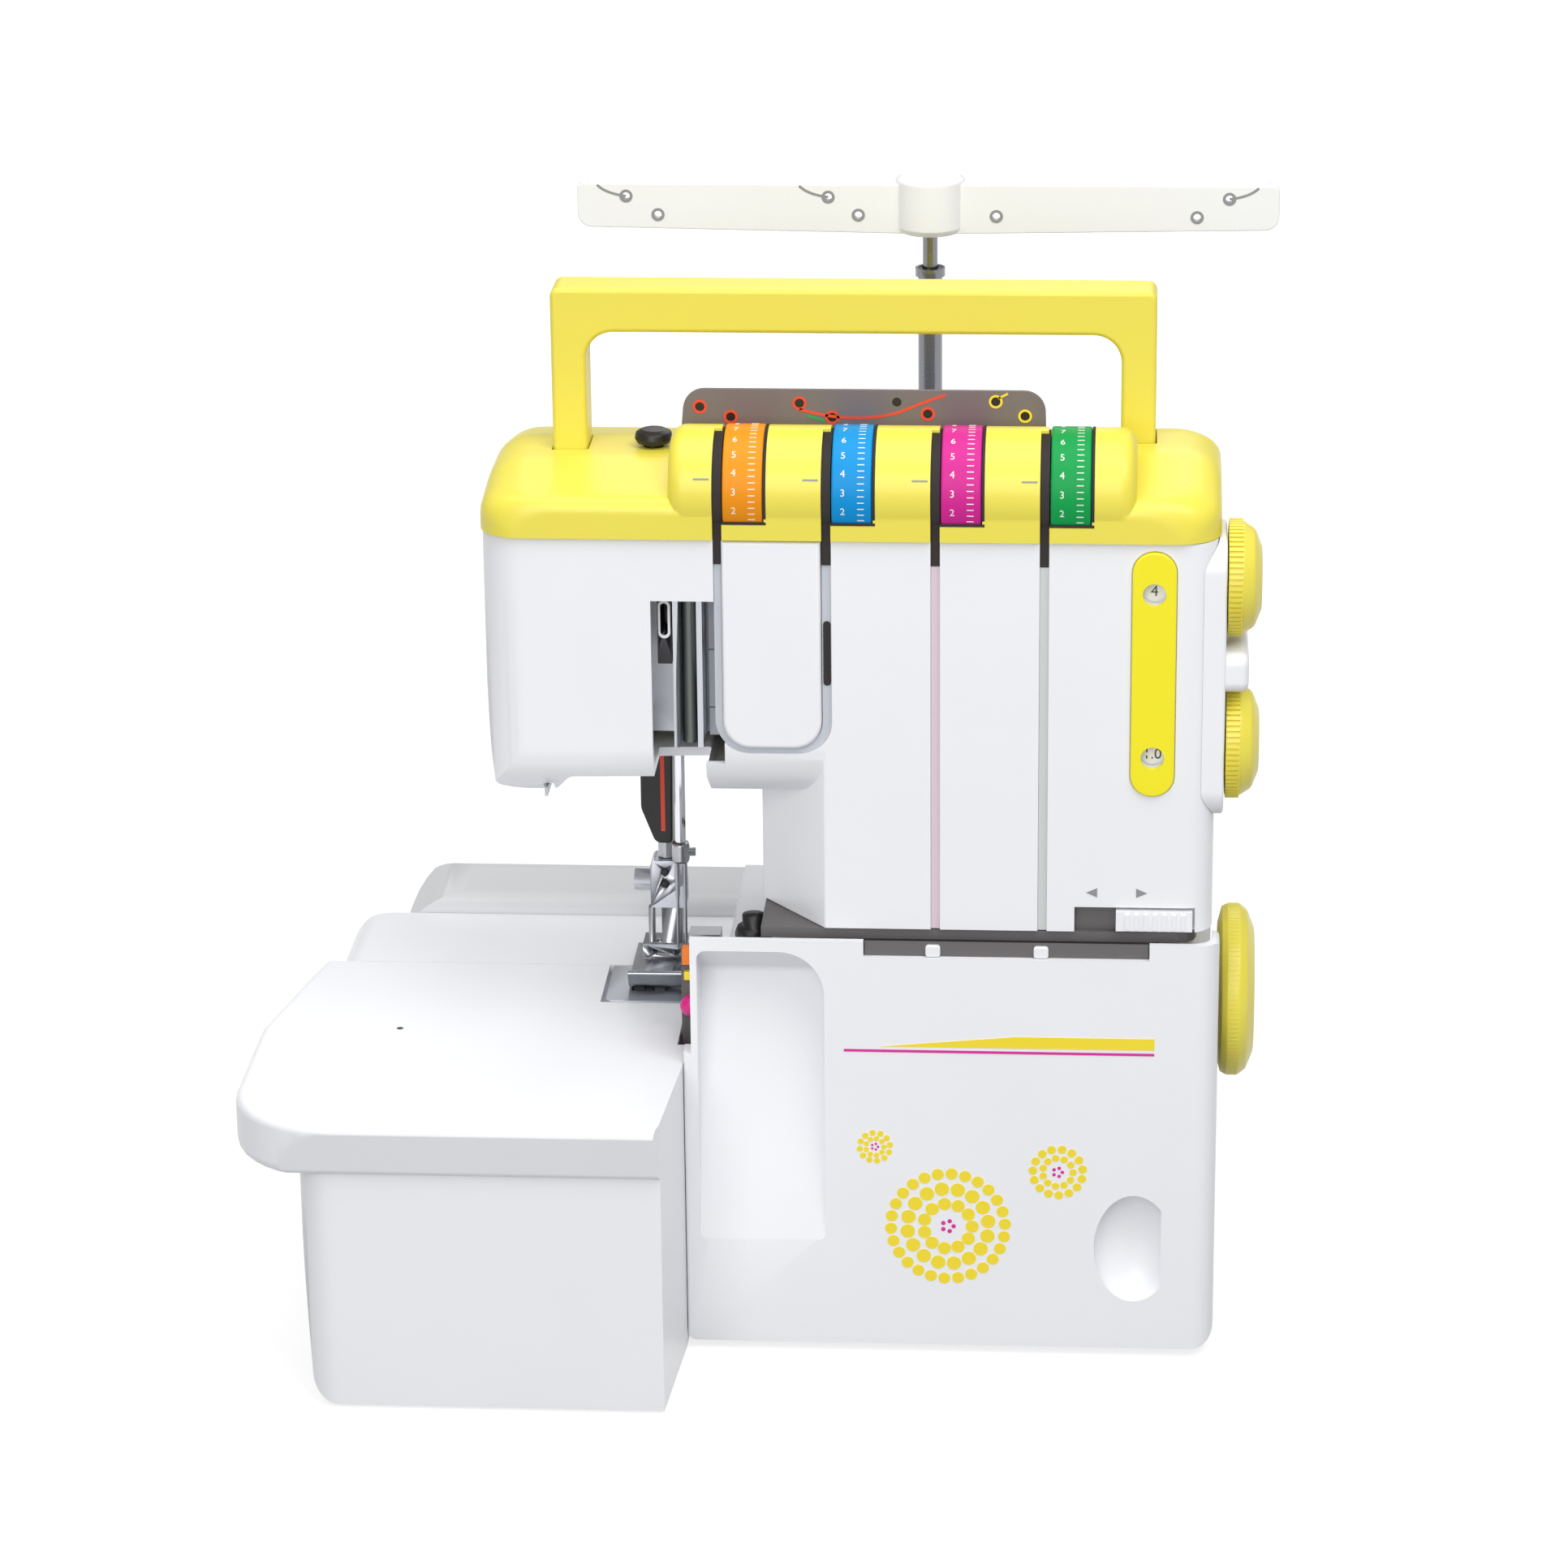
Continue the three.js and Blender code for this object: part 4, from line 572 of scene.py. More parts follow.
def headBlock(inset):
    a, b, y0, y1 = left + inset, right - inset, front + inset, headBack - inset
    over = 1 if inset > 0 else 0
    bottom, top = headBottom, casingTop
    low = bottom + inset
    chin = low - head["chin"]
    shape = prism("z", rectangle(a, b, y0, y1, 14 - inset, 9 - inset, 8 - inset, 44 - inset),
                  bottom - 10, top + over)
    side = prism("x", [(y0, top + 5), (y0, chin, 20 - inset), (y1, chin, 8 - inset), (y1, top + 5)],
                 a - 5, b + 5)
    base = baseLeft
    face = prism("y", [(a, top + 5), (a, bottom + 40, 60), (a + 1.4, bottom + 14, 30), (a + 3, low + 1.2, 4),
                       (a + 15.4, chin, 2), (a + 20.4, chin, 2), (a + 27, low + 5.4, 4),
                       (base - 2, low + 6.4, 1), (base - 1, low), (b + 5, low), (b + 5, top + 5)],
                 y0 - 5, y1 + 5)
    shape = common(shape, side, face)
    column = prism("z", [(head["chamferRight"] + inset * 0.4, y0, 1), (b, y0, 9 - inset), (b, y1, 8 - inset),
                         (inset, y1, 3), (inset, front + head["chamferDepth"] + inset * 0.4, 2)],
                   columnZ - over, headBottom + 24)
    sweep = head["sweep"]
    fillet = prism("y", [(inset + 2, low + 1), (inset - sweep, low + 1), (inset - sweep, low),
                         (inset, low, sweep), (inset, low - sweep - 1), (inset + 2, low - sweep - 1)],
                   front + head["chamferDepth"] + inset, y1)
    return joined(shape, column, fillet)


seatCorners = rectangle(-12.8, 24.7, 208.5, 281, 11, 11, 0, 0)


def cutFront(shape):
    half = slitWidth / 2
    tools = []
    for x in slits[2:]:
        tools += [box(x - half, x + half, -90, front + 1.8, 148, 272),
                  box(x - half, x + half, -90, front + 5, 271.5, 281)]
    tools.append(prism("y", rectangle(windowX - 7.3, windowX + 7.3, 195.7, 277.7, 7.2), front - 1, front + 1))
    for z in (stitchZ, feedZ):
        tools += [rod("y", (windowX, z), windowHole, front - 1, front + 4),
                  rod("x", (knobY, z), dialBore, right - 5, right + 1)]
    for x in dialX:
        tools.append(rod("x", dialPlace, dialRadius + 0.7, x - gap, x + dialWidth + gap))
    tools += [box(*head[k]) for k in ("guardWindow", "barWindow", "chinSlot")]
    tools.append(prism("y", seatCorners, -90, -76))
    return cut(shape, *tools, box(*head["sliderSlot"]), box(*head["barOpening"]))


arrows = [prism("y", [(x - 2 * s, 162.6), (x + 1.6 * s, 161), (x + 1.6 * s, 164.2)], front - 0.1, front + 0.1)
          for x, s in ((108.3, 1), (124, -1))]
finish("sliderArrows", merged(*arrows), printGrey, "body")

shell = cut(headBlock(0), headBlock(casingWall))
rear = twin(shell)
frontHalf = cutFront(common(shell, box(-200, 200, -200, head["parting"], 0, 400)))
finish("frontCasing", frontHalf, whiteAbs, "body", ["front_casing"], "white_casing")
rear = cut(common(rear, box(-200, 200, head["parting"] + gap, 200, 0, 400)), box(*head["barOpening"]))
finish("rearCasing", rear, whiteAbs, "body", ["rear_casing"], "white_casing")

lobeCorners = rectangle(-10.2, 21.4, 210.5, 279.7, 9, 9, 0, 0)
plate = prism("y", lobeCorners, -84, -76, 1.4, 0)
plate = cut(plate, rod("x", dialPlace, dialRadius + 0.7, dialX[0] - gap, dialX[0] + dialWidth + gap))
finish("threadCoverLobe", plate, whiteAbs, "body", ["thread_cover"], "white_casing")

# Grey liners at the bottom of the thread grooves below the slits: painted shade of the grooves, with the pink
# tint of one groove being its own colour
grooveShades = {"pink": "#DCC9D2", "pale": "#CDD2D0", "seat": "#C4C8CF"}
grooveShadePink = moulded("grooveShadePink", grooveShades["pink"], 0.5, 0.5, 0.02)
grooveShadeGrey = moulded("grooveShadeGrey", grooveShades["pale"], 0.5, 0.5, 0.02)
shadeSheetGrey = moulded("shadeSheetGrey", grooveShades["seat"], 0.5, 0.5, 0.02)  # matt grey sheet, painted shadow round the lobe and in the gaps beside it
for name, x, material in (("threadGrooveShadePink", slits[2], grooveShadePink),
                          ("threadGrooveShadeGrey", slits[3], grooveShadeGrey)):
    finish(name, box(x - 1.45, x + 1.45, front + 0.9, front + 2, 149.2, 271.8), material, "body")
# Grey sheet in the recess round the lobe: painted shadow of the lobe and of the gaps at its sides
seat = cut(prism("y", moveInwards(seatCorners, 0.05), front + 1.4, front + 2.4),
           prism("y", moveInwards(lobeCorners, -0.2), -90, -70), box(-20, 30, -90, -70, 271.8, 290))
finish("lobeShadeSheet", seat, shadeSheetGrey, "body")
# Black patch in the gap beside the lobe: painted shadow of the opening there
eyeSlotShadow = prism("y", rectangle(22, 24.4, 231.5, 253, 1.1), front + 1.1, front + 1.6)
finish("lobeEyeSlotShadow", eyeSlotShadow, shadowBlack, "body")

pill = {"halfWidth": 7, "foot": 196, "top": 277.4}
half = pill["halfWidth"]
strip = prism("y", rectangle(windowX - half, windowX + half, pill["foot"], pill["top"], half),
              front - 1.2, front + 0.7, 0.6, 0, 12)
strip = cut(strip, *[rod("y", (windowX, z), windowHole, -90, -80) for z in (stitchZ, feedZ)])
yellowGloss = moulded("yellowGloss", "#F9EC10", 0.35, 0.4, 0.01)  # brighter yellow insert
finish("windowStripPill", strip, yellowGloss, "body", ["window_strip"], "yellow")

# Rear: a plate behind the column, and screw heads in rows
finish("rearDeckPlate", box(8.4, 137.6, 30.4, 41.6, 142.4, 144.2), deckAbs, "body")
screws = {"size": (6, 6, 1.2), "y": 29.9, "rows": ((3, 88.0, -50.0, 266), (2, 104.0, 22.0, 164))}
rows = [pattern(rowTree, blackAcetal, count=count, round=True, piecesize=screws["size"], turn=towardsFront,
                step=(step, 0.0, 0.0), centre=(x, screws["y"], z)) for count, step, x, z in screws["rows"]]
finish("rearScrews", merged(*rows), None, "body")
print("head ready")


# Top cover and tension unit

top = {"ridgeFront": -50, "ridgeBack": -24, "frontTop": 293, "backTop": 283.5, "ridgeFall": 4, "corner": 14,
       "leftEnd": 13, "rightEnd": 16, "shoulder": 9, "slices": 24, "housing": (-27, 121), "housingRound": 5,
       "housingFoot": 283, "slotBottom": 286.4, "slotBack": -46.2, "facets": 24}
quarter = [k / 10 * math.pi / 2 for k in range(11)]


def heightAt(profile, y):
    for here, ahead in zip(profile, profile[1:]):
        if here.x <= y <= ahead.x and ahead.x > here.x:
            return here.y + (ahead.y - here.y) * (y - here.x) / (ahead.x - here.x)
    return profile[0].y if y < profile[0].x else profile[-1].y


# The cover is lofted from front to back: each slice follows the plan's round corners and the side's profile
def coverBlock(inset):
    a, b, y0, y1 = left - 0.4 + inset, right + 1 - inset, front - 1.5 + inset, headBack + 1 - inset
    low = casingTop - 2 if inset else casingTop + gap
    ridge, frontTop, corner = coverTop - inset, top["frontTop"] - inset, top["corner"] - inset
    profile = rounded([(y0, low), (y0, frontTop, 6), (top["ridgeFront"], ridge, 10),
                       (top["ridgeBack"], ridge, 16), (y1, top["backTop"] - inset, 1), (y1, low)],
                      top["facets"])[1:-1]
    between = [k / top["slices"] for k in range(1, top["slices"])]
    stations = [y0 + corner * (1 - math.cos(t)) for t in quarter]
    stations += [y0 + corner + share * (y1 - y0 - 2 * corner) for share in between]
    stations += [y1 - corner * (1 - math.cos(t)) for t in quarter[::-1]]
    layers = []
    for y in stations:
        height = heightAt(profile, y)
        edge = max(0, corner - (y - y0), corner - (y1 - y))
        narrow = corner - math.sqrt(max(0, corner * corner - edge * edge))
        leftTop = height - top["ridgeFall"] * max(0, (height - frontTop) / (ridge - frontTop))
        rim = min(top["shoulder"], leftTop - low - 0.5)
        outline = [(a + narrow, low), (b - narrow, low)]
        outline += [(b - narrow - top["rightEnd"] * (1 - math.cos(t)), height - rim * (1 - math.sin(t)))
                    for t in quarter]
        outline += [(a + narrow + top["leftEnd"] * (1 - math.cos(t)), leftTop - rim * (1 - math.sin(t)))
                    for t in quarter[::-1]]
        layers.append(([Vector(point) for point in outline], y))
    body = layered("y", layers)
    radius = dialRadius - 0.2 - inset
    c, d, r = top["housing"][0] + inset, top["housing"][1] - inset, top["housingRound"]
    housing = turned("x", dialPlace, [(0, c), (radius, c, r), (radius, d, r), (0, d)], 72, 6)
    foot = low if inset else top["housingFoot"]
    return joined(body, common(housing, box(-200, 200, -200, 200, foot, 400)))


cover = cut(coverBlock(0), coverBlock(wall))
handle = {"left": -67.5, "right": 126.8, "leg": 11.2, "front": -42, "depth": 17, "top": 351, "bar": 14.5,
          "foot": 262, "edge": 1.6, "inner": 9, "corner": 3, "gap": 0.4}
tools = []
for x in dialX:
    near, far = x - gap, x + dialWidth + gap
    drum = rod("x", dialPlace, dialRadius + 0.4, near, far)
    tools += [common(drum, box(near - 1, far + 1, -90, -60, 280, top["slotBottom"] + 0.1)),
              box(near, far, -90, top["slotBack"], top["slotBottom"], 320)]
for x in slits:
    tools += [box(x - 1.5, x + 1.5, -90, -68, 275, 320), box(x + 0.9, x + 1.6, -90, -52, 286, 320)]
tools.append(rod("x", dialPlace, shaftHole, top["housing"][0] + 3, top["housing"][1] - 3))
y0, y1 = handle["front"] - handle["gap"], handle["front"] + handle["depth"] + handle["gap"]
for x in (handle["left"], handle["right"] - handle["leg"]):
    tools.append(box(x - handle["gap"], x + handle["leg"] + handle["gap"], y0, y1, 275, 320))
tools.append(rod("z", regulatorPlace, shaftHole, 280, 310))
finish("topCoverShell", cut(cover, *tools), yellowAbs, "body", ["top_cover"], "yellow")

a, b, foot, roof = (handle[k] for k in ("left", "right", "foot", "top"))
c, d, lowBar = a + handle["leg"], b - handle["leg"], roof - handle["bar"]
inner, corner, edge = handle["inner"], handle["corner"], handle["edge"]
loop = prism("y", [(a, foot), (c, foot), (c, lowBar, inner), (d, lowBar, inner), (d, foot), (b, foot),
                   (b, roof, corner), (a, roof, corner)],
             handle["front"], handle["front"] + handle["depth"], edge, edge)
yellowHandle = moulded("yellowHandle", "#ECDD50", 0.36, 0.6, 0.03)
finish("handleLoop", loop, yellowHandle, "carrying_handle", ["carrying_handle"], "yellow")

scale = {"digit": 3.3, "digitAt": 3.6, "step": 18, "first": -27, "numerals": "1234567890", "ticks": 60,
         "tick": (0.16, 0.3, 2.2), "tickAt": 9.3}
for i, (x, slotName) in enumerate(zip(dialX, ("orange", "blue", "magenta", "green")), 1):
    node, far = f"tension_dial_{i}", x + dialWidth
    dial = turned("x", dialPlace, [(shaftHole, x), (dialRadius, x, 0.8), (dialRadius, far, 0.8),
                                   (shaftHole, far)], 72, 4, True)
    finish(f"tensionRing{i}", dial, dialAbs[i - 1], node, [node], slotName)

for i, x in enumerate(dialX, 1):
    digits = [onDrum(letters(digit, scale["digit"], 0.06), x + scale["digitAt"], dialPlace, dialRadius,
                     math.radians(scale["first"] + k * scale["step"]))
              for k, digit in enumerate(scale["numerals"])]
    finish(f"dialNumerals{i}", merged(*digits), printWhite, f"tension_dial_{i}")
    ticks = around(printWhite, scale["ticks"], dialRadius, scale["tick"], (x + scale["tickAt"], *dialPlace))
    finish(f"dialTicks{i}", ticks, None, f"tension_dial_{i}")

# Black linings of the thread slits and dial openings: painted shadow inside these openings
r, foot = dialRadius - 0.2, top["slotBottom"]
shadowLinings = []
for x, dial in zip(slits, dialX):
    deep = rod("x", dialPlace, r - 0.9, x - 1.48, x + 1.48, 0, 64)
    far = dial + dialWidth + gap
    side = turned("x", dialPlace, [(r - 2, far - 0.2), (r + 0.15, far - 0.2), (r + 0.15, far + 0.7),
                                   (r - 2, far + 0.7)], 72, 3, True)
    shadowLinings += [common(deep, box(x - 2, x + 2, -90, -51, 286, 320)),
                box(x - 1.48, x + 1.48, front + 0.7, front + 6, 271.8, 287),
                common(side, box(x, x + 20, -90, -50, foot - 0.6, 320)),
                box(dial - gap, far + 0.7, front - 1.62, front - 0.5, foot - 0.9, foot)]
finish("slitShadowLinings", merged(*shadowLinings), shadowBlack, "body")

marks = [onDrum(patch(5, 0.6), x - 6.6, dialPlace, r, math.radians(21)) for x in dialX]
finish("dialIndexMarks", merged(*marks), printGrey, "body")
print("top cover ready")


# Thread guide plate, regulator and side dials

guide = {"foot": 302.7, "top": 320.1, "left": -25.5, "right": 92, "y": -48.5, "thick": 1.2, "hole": 1.5,
         "eyes": [(-19.1, 314.1), (-9.2, 310.8), (12.9, 315.5), (23.4, 310.9), (44.1, 316.1), (54, 312.3),
                  (75.7, 316.5), (85.1, 311.8)]}
y, eyes = guide["y"], guide["eyes"]
sheet = prism("y", [(guide["left"], guide["foot"]), (guide["right"], guide["foot"]), (91.5, guide["top"], 7),
                    (-24, guide["top"], 7)], y, y + guide["thick"], 0.2, 0.2)
sheet = joined(sheet, box(-10, 80, -47.6, -43.3, 301.8, 303.1))
sheet = cut(sheet, *[rod("y", eye, guide["hole"], -50, -46) for eye in eyes])
guideGrey = moulded("guideGrey", "#756C6D", 0.5, 0.4, 0.02)
finish("guidePlateSheet", sheet, guideGrey, "body", ["thread_guide_plate"], "dark_grey")

grommets = [turned("y", eye, [(0, -48.1), (1.48, -48.1), (1.48, -47.5), (0, -47.5)], 24) for eye in eyes]
finish("guideGrommets", merged(*grommets), blackAcetal, "body")
redRings = [ring(eye, guide["hole"], 2.3, y) for eye in eyes[:4] + eyes[5:6]]
curve = bend((12.9, 313.5), (30, 308.5), (44, 312.5)) + bend((46, 313.2), (52, 316), (59.7, 318.6), 4)
finish("guidePrintRed", merged(*redRings, ribbon(curve, 0.9, y)), printRed, "body")
finish("guidePrintGreen", ribbon([(15.5, 311.5), (21, 309.6)], 0.9, y), printGreen, "body")
yellowRings = [ring(eye, guide["hole"], 2.2, y) for eye in eyes[6:]]
yellowDash = ribbon([(76.5, 317.6), (79.6, 319.2)], 0.7, y)
finish("guidePrintYellow", merged(*yellowRings, yellowDash), printYellow, "body")

knob = turned("z", regulatorPlace, [(0, 287), (3, 287), (3, 299.6), (5.4, 299.6, 0.4), (6.2, 301, 0.6),
                                    (5.8, 303, 0.8), (3.8, 304, 0.6), (0, 304.2)], 40, 3)
finish("regulatorKnob", knob, blackAcetal, "pressure_regulator", ["pressure_regulator_knob"], "black")

dials = {"x": 147.3, "radius": 19, "drum": 15.9, "ribs": 64, "rib": (1.2, 1, 4.4), "digit": 5, "step": 32}
x, r, y = dials["x"], dials["radius"], knobY
middle = (stitchZ + feedZ) / 2
plate = cut(prism("x", rectangle(y - 18, y + 20, 187, 279.4, 10), x - 8, x + 2.6, 0, 1), headBlock(-gap))
pad = prism("x", rectangle(y - 17, y + 17, middle - 6.6, middle + 6.6, 4), x + 2, x + 10, 0, 2.5)
plate = cut(joined(plate, pad), *[rod("x", (y, z), dialBore, x - 1, x + 5) for z in (stitchZ, feedZ)])
finish("dialHousingPlate", plate, whiteAbs, "body", ["dial_housing"], "white_casing")

for name, node, z, marks in (
        ("stitchDial", "stitch_length_dial", stitchZ, {"2": 2, "3": 1, "4": 0, "5": -1, "1": 3}),
        ("feedDial", "differential_feed_dial", feedZ, {"0.5": -2, "0.7": -1, "1.0": 0, "1.5": 1, "2.0": 2})):
    knob = turned("x", (y, z), [(0, x + 3), (r - 0.9, x + 3, 0.5), (r - 0.9, x + 7.8, 2),
                                (r - 3.4, x + 11.6, 3), (r - 9, x + 13.8, 3), (0, x + 14)], 88, 5)
    finish(name + "Knob", knob, yellowAbs, node, [node], "yellow")
    drum = turned("x", (y, z), [(0, 120), (dials["drum"], 120), (dials["drum"], 134), (3, 134), (3, x + 4),
                                (0, x + 4)], 48, 3)
    finish(name + "Drum", drum, whiteAbs, node, [], "white_casing")
    ribs = around(yellowAbs, dials["ribs"], r - 0.7, dials["rib"], (x + 5.4, y, z))
    finish(name + "Ribs", ribs, None, node)
    values = [onDrum(letters(text, dials["digit"], 0.06), windowX, (y, z), dials["drum"],
                     math.radians(k * dials["step"])) for text, k in marks.items()]
    finish(name + "Values", merged(*values), printDark, node)

wheel = {"radius": 28.5, "x": 149.6, "ribs": 110, "rib": (0.9, 0.8, 3.4)}
x, r = wheel["x"], wheel["radius"]
disc = turned("x", wheelPlace, [(0, x), (r - 6, x), (r - 1, x + 1.3, 0.8), (r, x + 3.2, 1), (r, x + 7.2, 2),
                                (r - 2, x + 9.7, 2), (r - 8, x + 12.1, 3), (0, x + 12.6)], 96, 5)
finish("handwheelDisc", disc, yellowAbs, "handwheel", ["handwheel"], "yellow")
ribs = around(yellowAbs, wheel["ribs"], r - 0.35, wheel["rib"], (x + 5.2, *wheelPlace))
finish("handwheelRibs", ribs, None, "handwheel")
print("dials ready")


# Looper cover

looper = {"left": -24.6, "right": 149.6, "notch": -22, "notchFoot": 106, "front": -87, "bottom": 3,
          "top": 146, "corner": 15, "hinge": (-78, 14), "ears": (-17, 133),
          "earSlots": ((-12, -0.5), (120.5, 132)), "recess": (-19.8, 21.7, 40, 142), "deepest": 131,
          "depth": 15, "scoop": (123, 39), "scoopSize": (13, 8.5, 19)}


def looperSkin(inset):
    a, b, y = looper["left"] + inset, looper["right"] - inset, looper["front"]
    corner, over = looper["corner"], 1 if inset else 0
    plan = prism("z", rectangle(a, b, y + inset, y + corner + over, 1.2, corner - inset, 0, 0), 0, 200)
    z0, z1 = looper["bottom"] + inset, looper["top"] + (2 if inset else 0)
    upper = (0, 0) if inset else (2, 3)
    return common(plan, prism("y", rectangle(a, b, z0, z1, 3, 7 - inset, *upper), y - 5, y + 30))


def recessShape(grow, y):
    a, b, z0, z1 = looper["recess"]
    a, b, z0, z1 = a - grow, b + grow, z0 - grow, z1 + grow
    face = looper["front"]
    hollow = prism("y", rectangle(a, b, z0, z1, 3, 3, 15, 3), face - 1, face + 20)
    slope = prism("x", [(y, z0), (face + grow, z0), (face + looper["depth"] + grow, looper["deepest"], 3),
                        (face + grow, z1), (y, z1)], looper["left"] - 5, looper["recess"][1] + 10)
    return common(hollow, slope)


def ball(centre, radii, segments=48, rings=24):
    edit = bmesh.new()
    bmesh.ops.create_uvsphere(edit, u_segments=segments, v_segments=rings, radius=1)
    return fromEdit("ball", edit, Matrix.Translation(centre) @ Matrix.Diagonal((*radii, 1)))


def scoopShape(grow, y):
    x, z = looper["scoop"]
    radii = [radius + grow for radius in looper["scoopSize"]]
    return common(ball((x, looper["front"], z), radii),
                  box(100, 132 + grow, y, looper["front"] + 20, 10, 80))


def hingeEar(x):
    y, z = looper["hinge"]
    return joined(box(x, x + 5, looper["front"] + 1, y, z - 3, z + 3), rod("x", (y, z), 4.4, x, x + 5))


y = looper["front"]
slot = {"left": 34.5, "right": 127, "foot": 140.5, "guides": (57, 92)}
cover = cut(looperSkin(0), looperSkin(wall),
            box(looper["left"] - 1, looper["right"] - 7, y + 8, y + 30, 0, 160))
cover = joined(cover, recessShape(2.1, y), scoopShape(2, y))
cover = cut(cover, recessShape(0, y - 1), scoopShape(0, y - 1))
cover = joined(cover, *[hingeEar(x) for x in looper["ears"]])
cover = cut(cover, rod("x", looper["hinge"], 2.3, -18.6, 139),
            box(slot["left"], slot["right"], y - 1, y + 6, slot["foot"], 150),
            box(looper["left"] - 1, looper["notch"], y - 1, y + 20, looper["notchFoot"], looper["top"] + 1),
            *[box(a, b, y + 3.2, y + 12, 0, 8.6) for a, b in looper["earSlots"]])
finish("looperCoverShell", cover, whiteAbs, "looper_cover", ["looper_cover"], "white_casing")

liner = box(slot["left"] + 0.3, slot["right"] - 0.3, y + 2.1, y + 2.4, 138, 145.6)
finish("slotBacking", liner, deckAbs, "looper_cover")
tabs = [prism("y", rectangle(x - 2.4, x + 2.4, 140.7, 144.6, 1), y + 0.6, y + 2.6, 0.4, 0)
        for x in slot["guides"]]
finish("slotThreadTabs", merged(*tabs), whiteAbs, "looper_cover")

# Plain decoration: a rule with a tapering band and three rosettes of round dots
near, far = y - 0.12, y + 0.1
finish("decorRule", box(28, 129, near, far, 107.6, 108.5), printMagenta, "looper_cover")
band = prism("y", [(40, 109.6), (129, 109.6), (129, 113.6), (84, 113.6)], near, far)
finish("decorBand", band, printYellow, "looper_cover")
rosettes = [((62, 46), 1.25, ((11, 8, 4.4), (16, 13.4, 4.8), (26, 18.8, 4))),
            ((98, 66), 1, ((11, 5, 2.5), (15, 8.2, 2.9))), ((38, 74), 0.7, ((9, 3, 1.8), (12, 5, 2.1)))]
petals, hearts = [], []


def dots(ink, centre, count, radius, size, start=0.0):
    return around(ink, count, radius, (size, size, 0.24), centre, start, towardsFront, True)


for (x, z), size, rings in rosettes:
    petals += [dots(printYellow, (x, y, z), *dotRing, k * 0.15) for k, dotRing in enumerate(rings)]
    hearts.append(dots(printMagenta, (x, y, z), 5, 1.5 * size, 1.2 * size))
finish("decorPetals", merged(*petals), None, "looper_cover")
finish("decorHearts", merged(*hearts), None, "looper_cover")
print("looper cover ready")


# Side cover with the sewing table

table = {"left": -168, "right": -24.8, "behind": -28, "front": -143, "thick": 19, "skin": 2.6, "corner": 32,
         "boxLeft": -146, "boxFront": -136.8, "boxFoot": 1, "lean": 4.4, "taper": 3.4, "backEnd": 0.7,
         "plateNotch": (-57.2, -33.3), "endWall": (-200, -148.5, -1.8, 2, 60, 200),
         "hook": (-145, -63, -9, -5, 80, 86)}


def tableSlab(inset, z0, z1, low, high):
    b = table["right"] + 14
    a, y = table["left"] + inset, table["front"] + inset
    slab = prism("z", [(b, y), (a, y, table["corner"] - inset), (a, -60, 20 - inset), (a + 9, -12, 8),
                       (a + 15, 15), (b, 15)], z0, z1, low, high)
    top, foot = bedTop, bedTop - table["thick"]
    side = prism("x", [(y, top + 1), (y, top - 3, 2.5), (y + table["lean"], foot, 3), (20, foot),
                       (20, top + 1)], -300, 0)
    return common(slab, side)


def tableBox(inset):
    b, a, y = table["right"] + 10, table["boxLeft"] + inset, table["boxFront"] + inset
    z = table["boxFoot"] + inset
    plan = prism("z", [(b, y), (a, y, 12 - inset), (a, 14), (b, 14)], table["boxFoot"] - 2,
                 bedTop - table["thick"] + 3)
    return common(plan, prism("y", [(a + 3, z, 9), (b, z), (b, 200), (a, 200), (a, 60, 40)], -200, 50))


def beyondTable(inset):
    x, y, slant = table["right"] - inset, table["front"], table["taper"]
    return prism("z", [(x, 20), (x, looper["front"]), (x - slant, y + 5), (x - slant - 2, y - 2), (50, y - 2),
                       (50, 20)], -10, 300)


z, foot, skin = bedTop, bedTop - table["thick"], table["skin"]
outside = joined(tableSlab(0, foot, z, 4, 3), tableBox(0))
inside = joined(tableSlab(3, foot + skin, z - skin, 3, 3), tableBox(wall))
wallSide = common(twin(outside), beyondTable(wall))
endWall = common(tableSlab(0.3, foot + 0.3, z - 0.3, 4, 3), box(*table["endWall"]))
cover = joined(cut(outside, inside), wallSide, endWall, box(*table["hook"]))
a, y = table["plateNotch"]
cover = cut(cover, beyondTable(0), box(-300, 300, table["backEnd"], 300, -10, 300),
            box(a, 200, y, 300, -10, 300), box(table["behind"], 200, -70, 300, -10, 300),
            box(table["behind"] - 4, 200, -62, 300, -10, 99.3))
finish("sideCoverShell", cover, whiteAbs, "side_cover", ["side_cover"], "white_casing")
print("side cover ready")


# Spool tray, antenna and guide bar

tray = {"centre": (48.5, 108), "front": 100.5, "back": 146, "top": 48, "corner": 14, "pinY": 124.5,
        "inner": 31.8, "outer": 95.5}
(x, y), y0, y1 = tray["centre"], tray["front"], tray["back"]
a, b = x - tray["outer"] - 16, x + tray["outer"] + 16
dish = cut(prism("z", rectangle(a, b, y0, y1, tray["corner"]), 38, tray["top"], 1, 0.8),
           prism("z", rectangle(a + wall, b - wall, y0 + wall, y1 - wall, tray["corner"] - wall), 41, 49))
dish = joined(dish, box(-20, 118, y0, y0 + 3, 14, 39), rod("z", (x, y), 7, 40, 44))
pins = [turned("z", (x + side, tray["pinY"]), [
    (0, 40.5), (17, 40.5), (17, 42.5, 0.6), (7, 43.5, 2), (3.6, 49.5, 2), (3, 84.5, 1), (0, 86.5)], 40)
        for side in (-tray["outer"], -tray["inner"], tray["inner"], tray["outer"])]
dish = cut(joined(dish, *pins), rod("z", (x, y), 5.9, 44.1, 49))
finish("spoolTrayDish", dish, greyAbs, "body", ["spool_tray"], "grey_white")

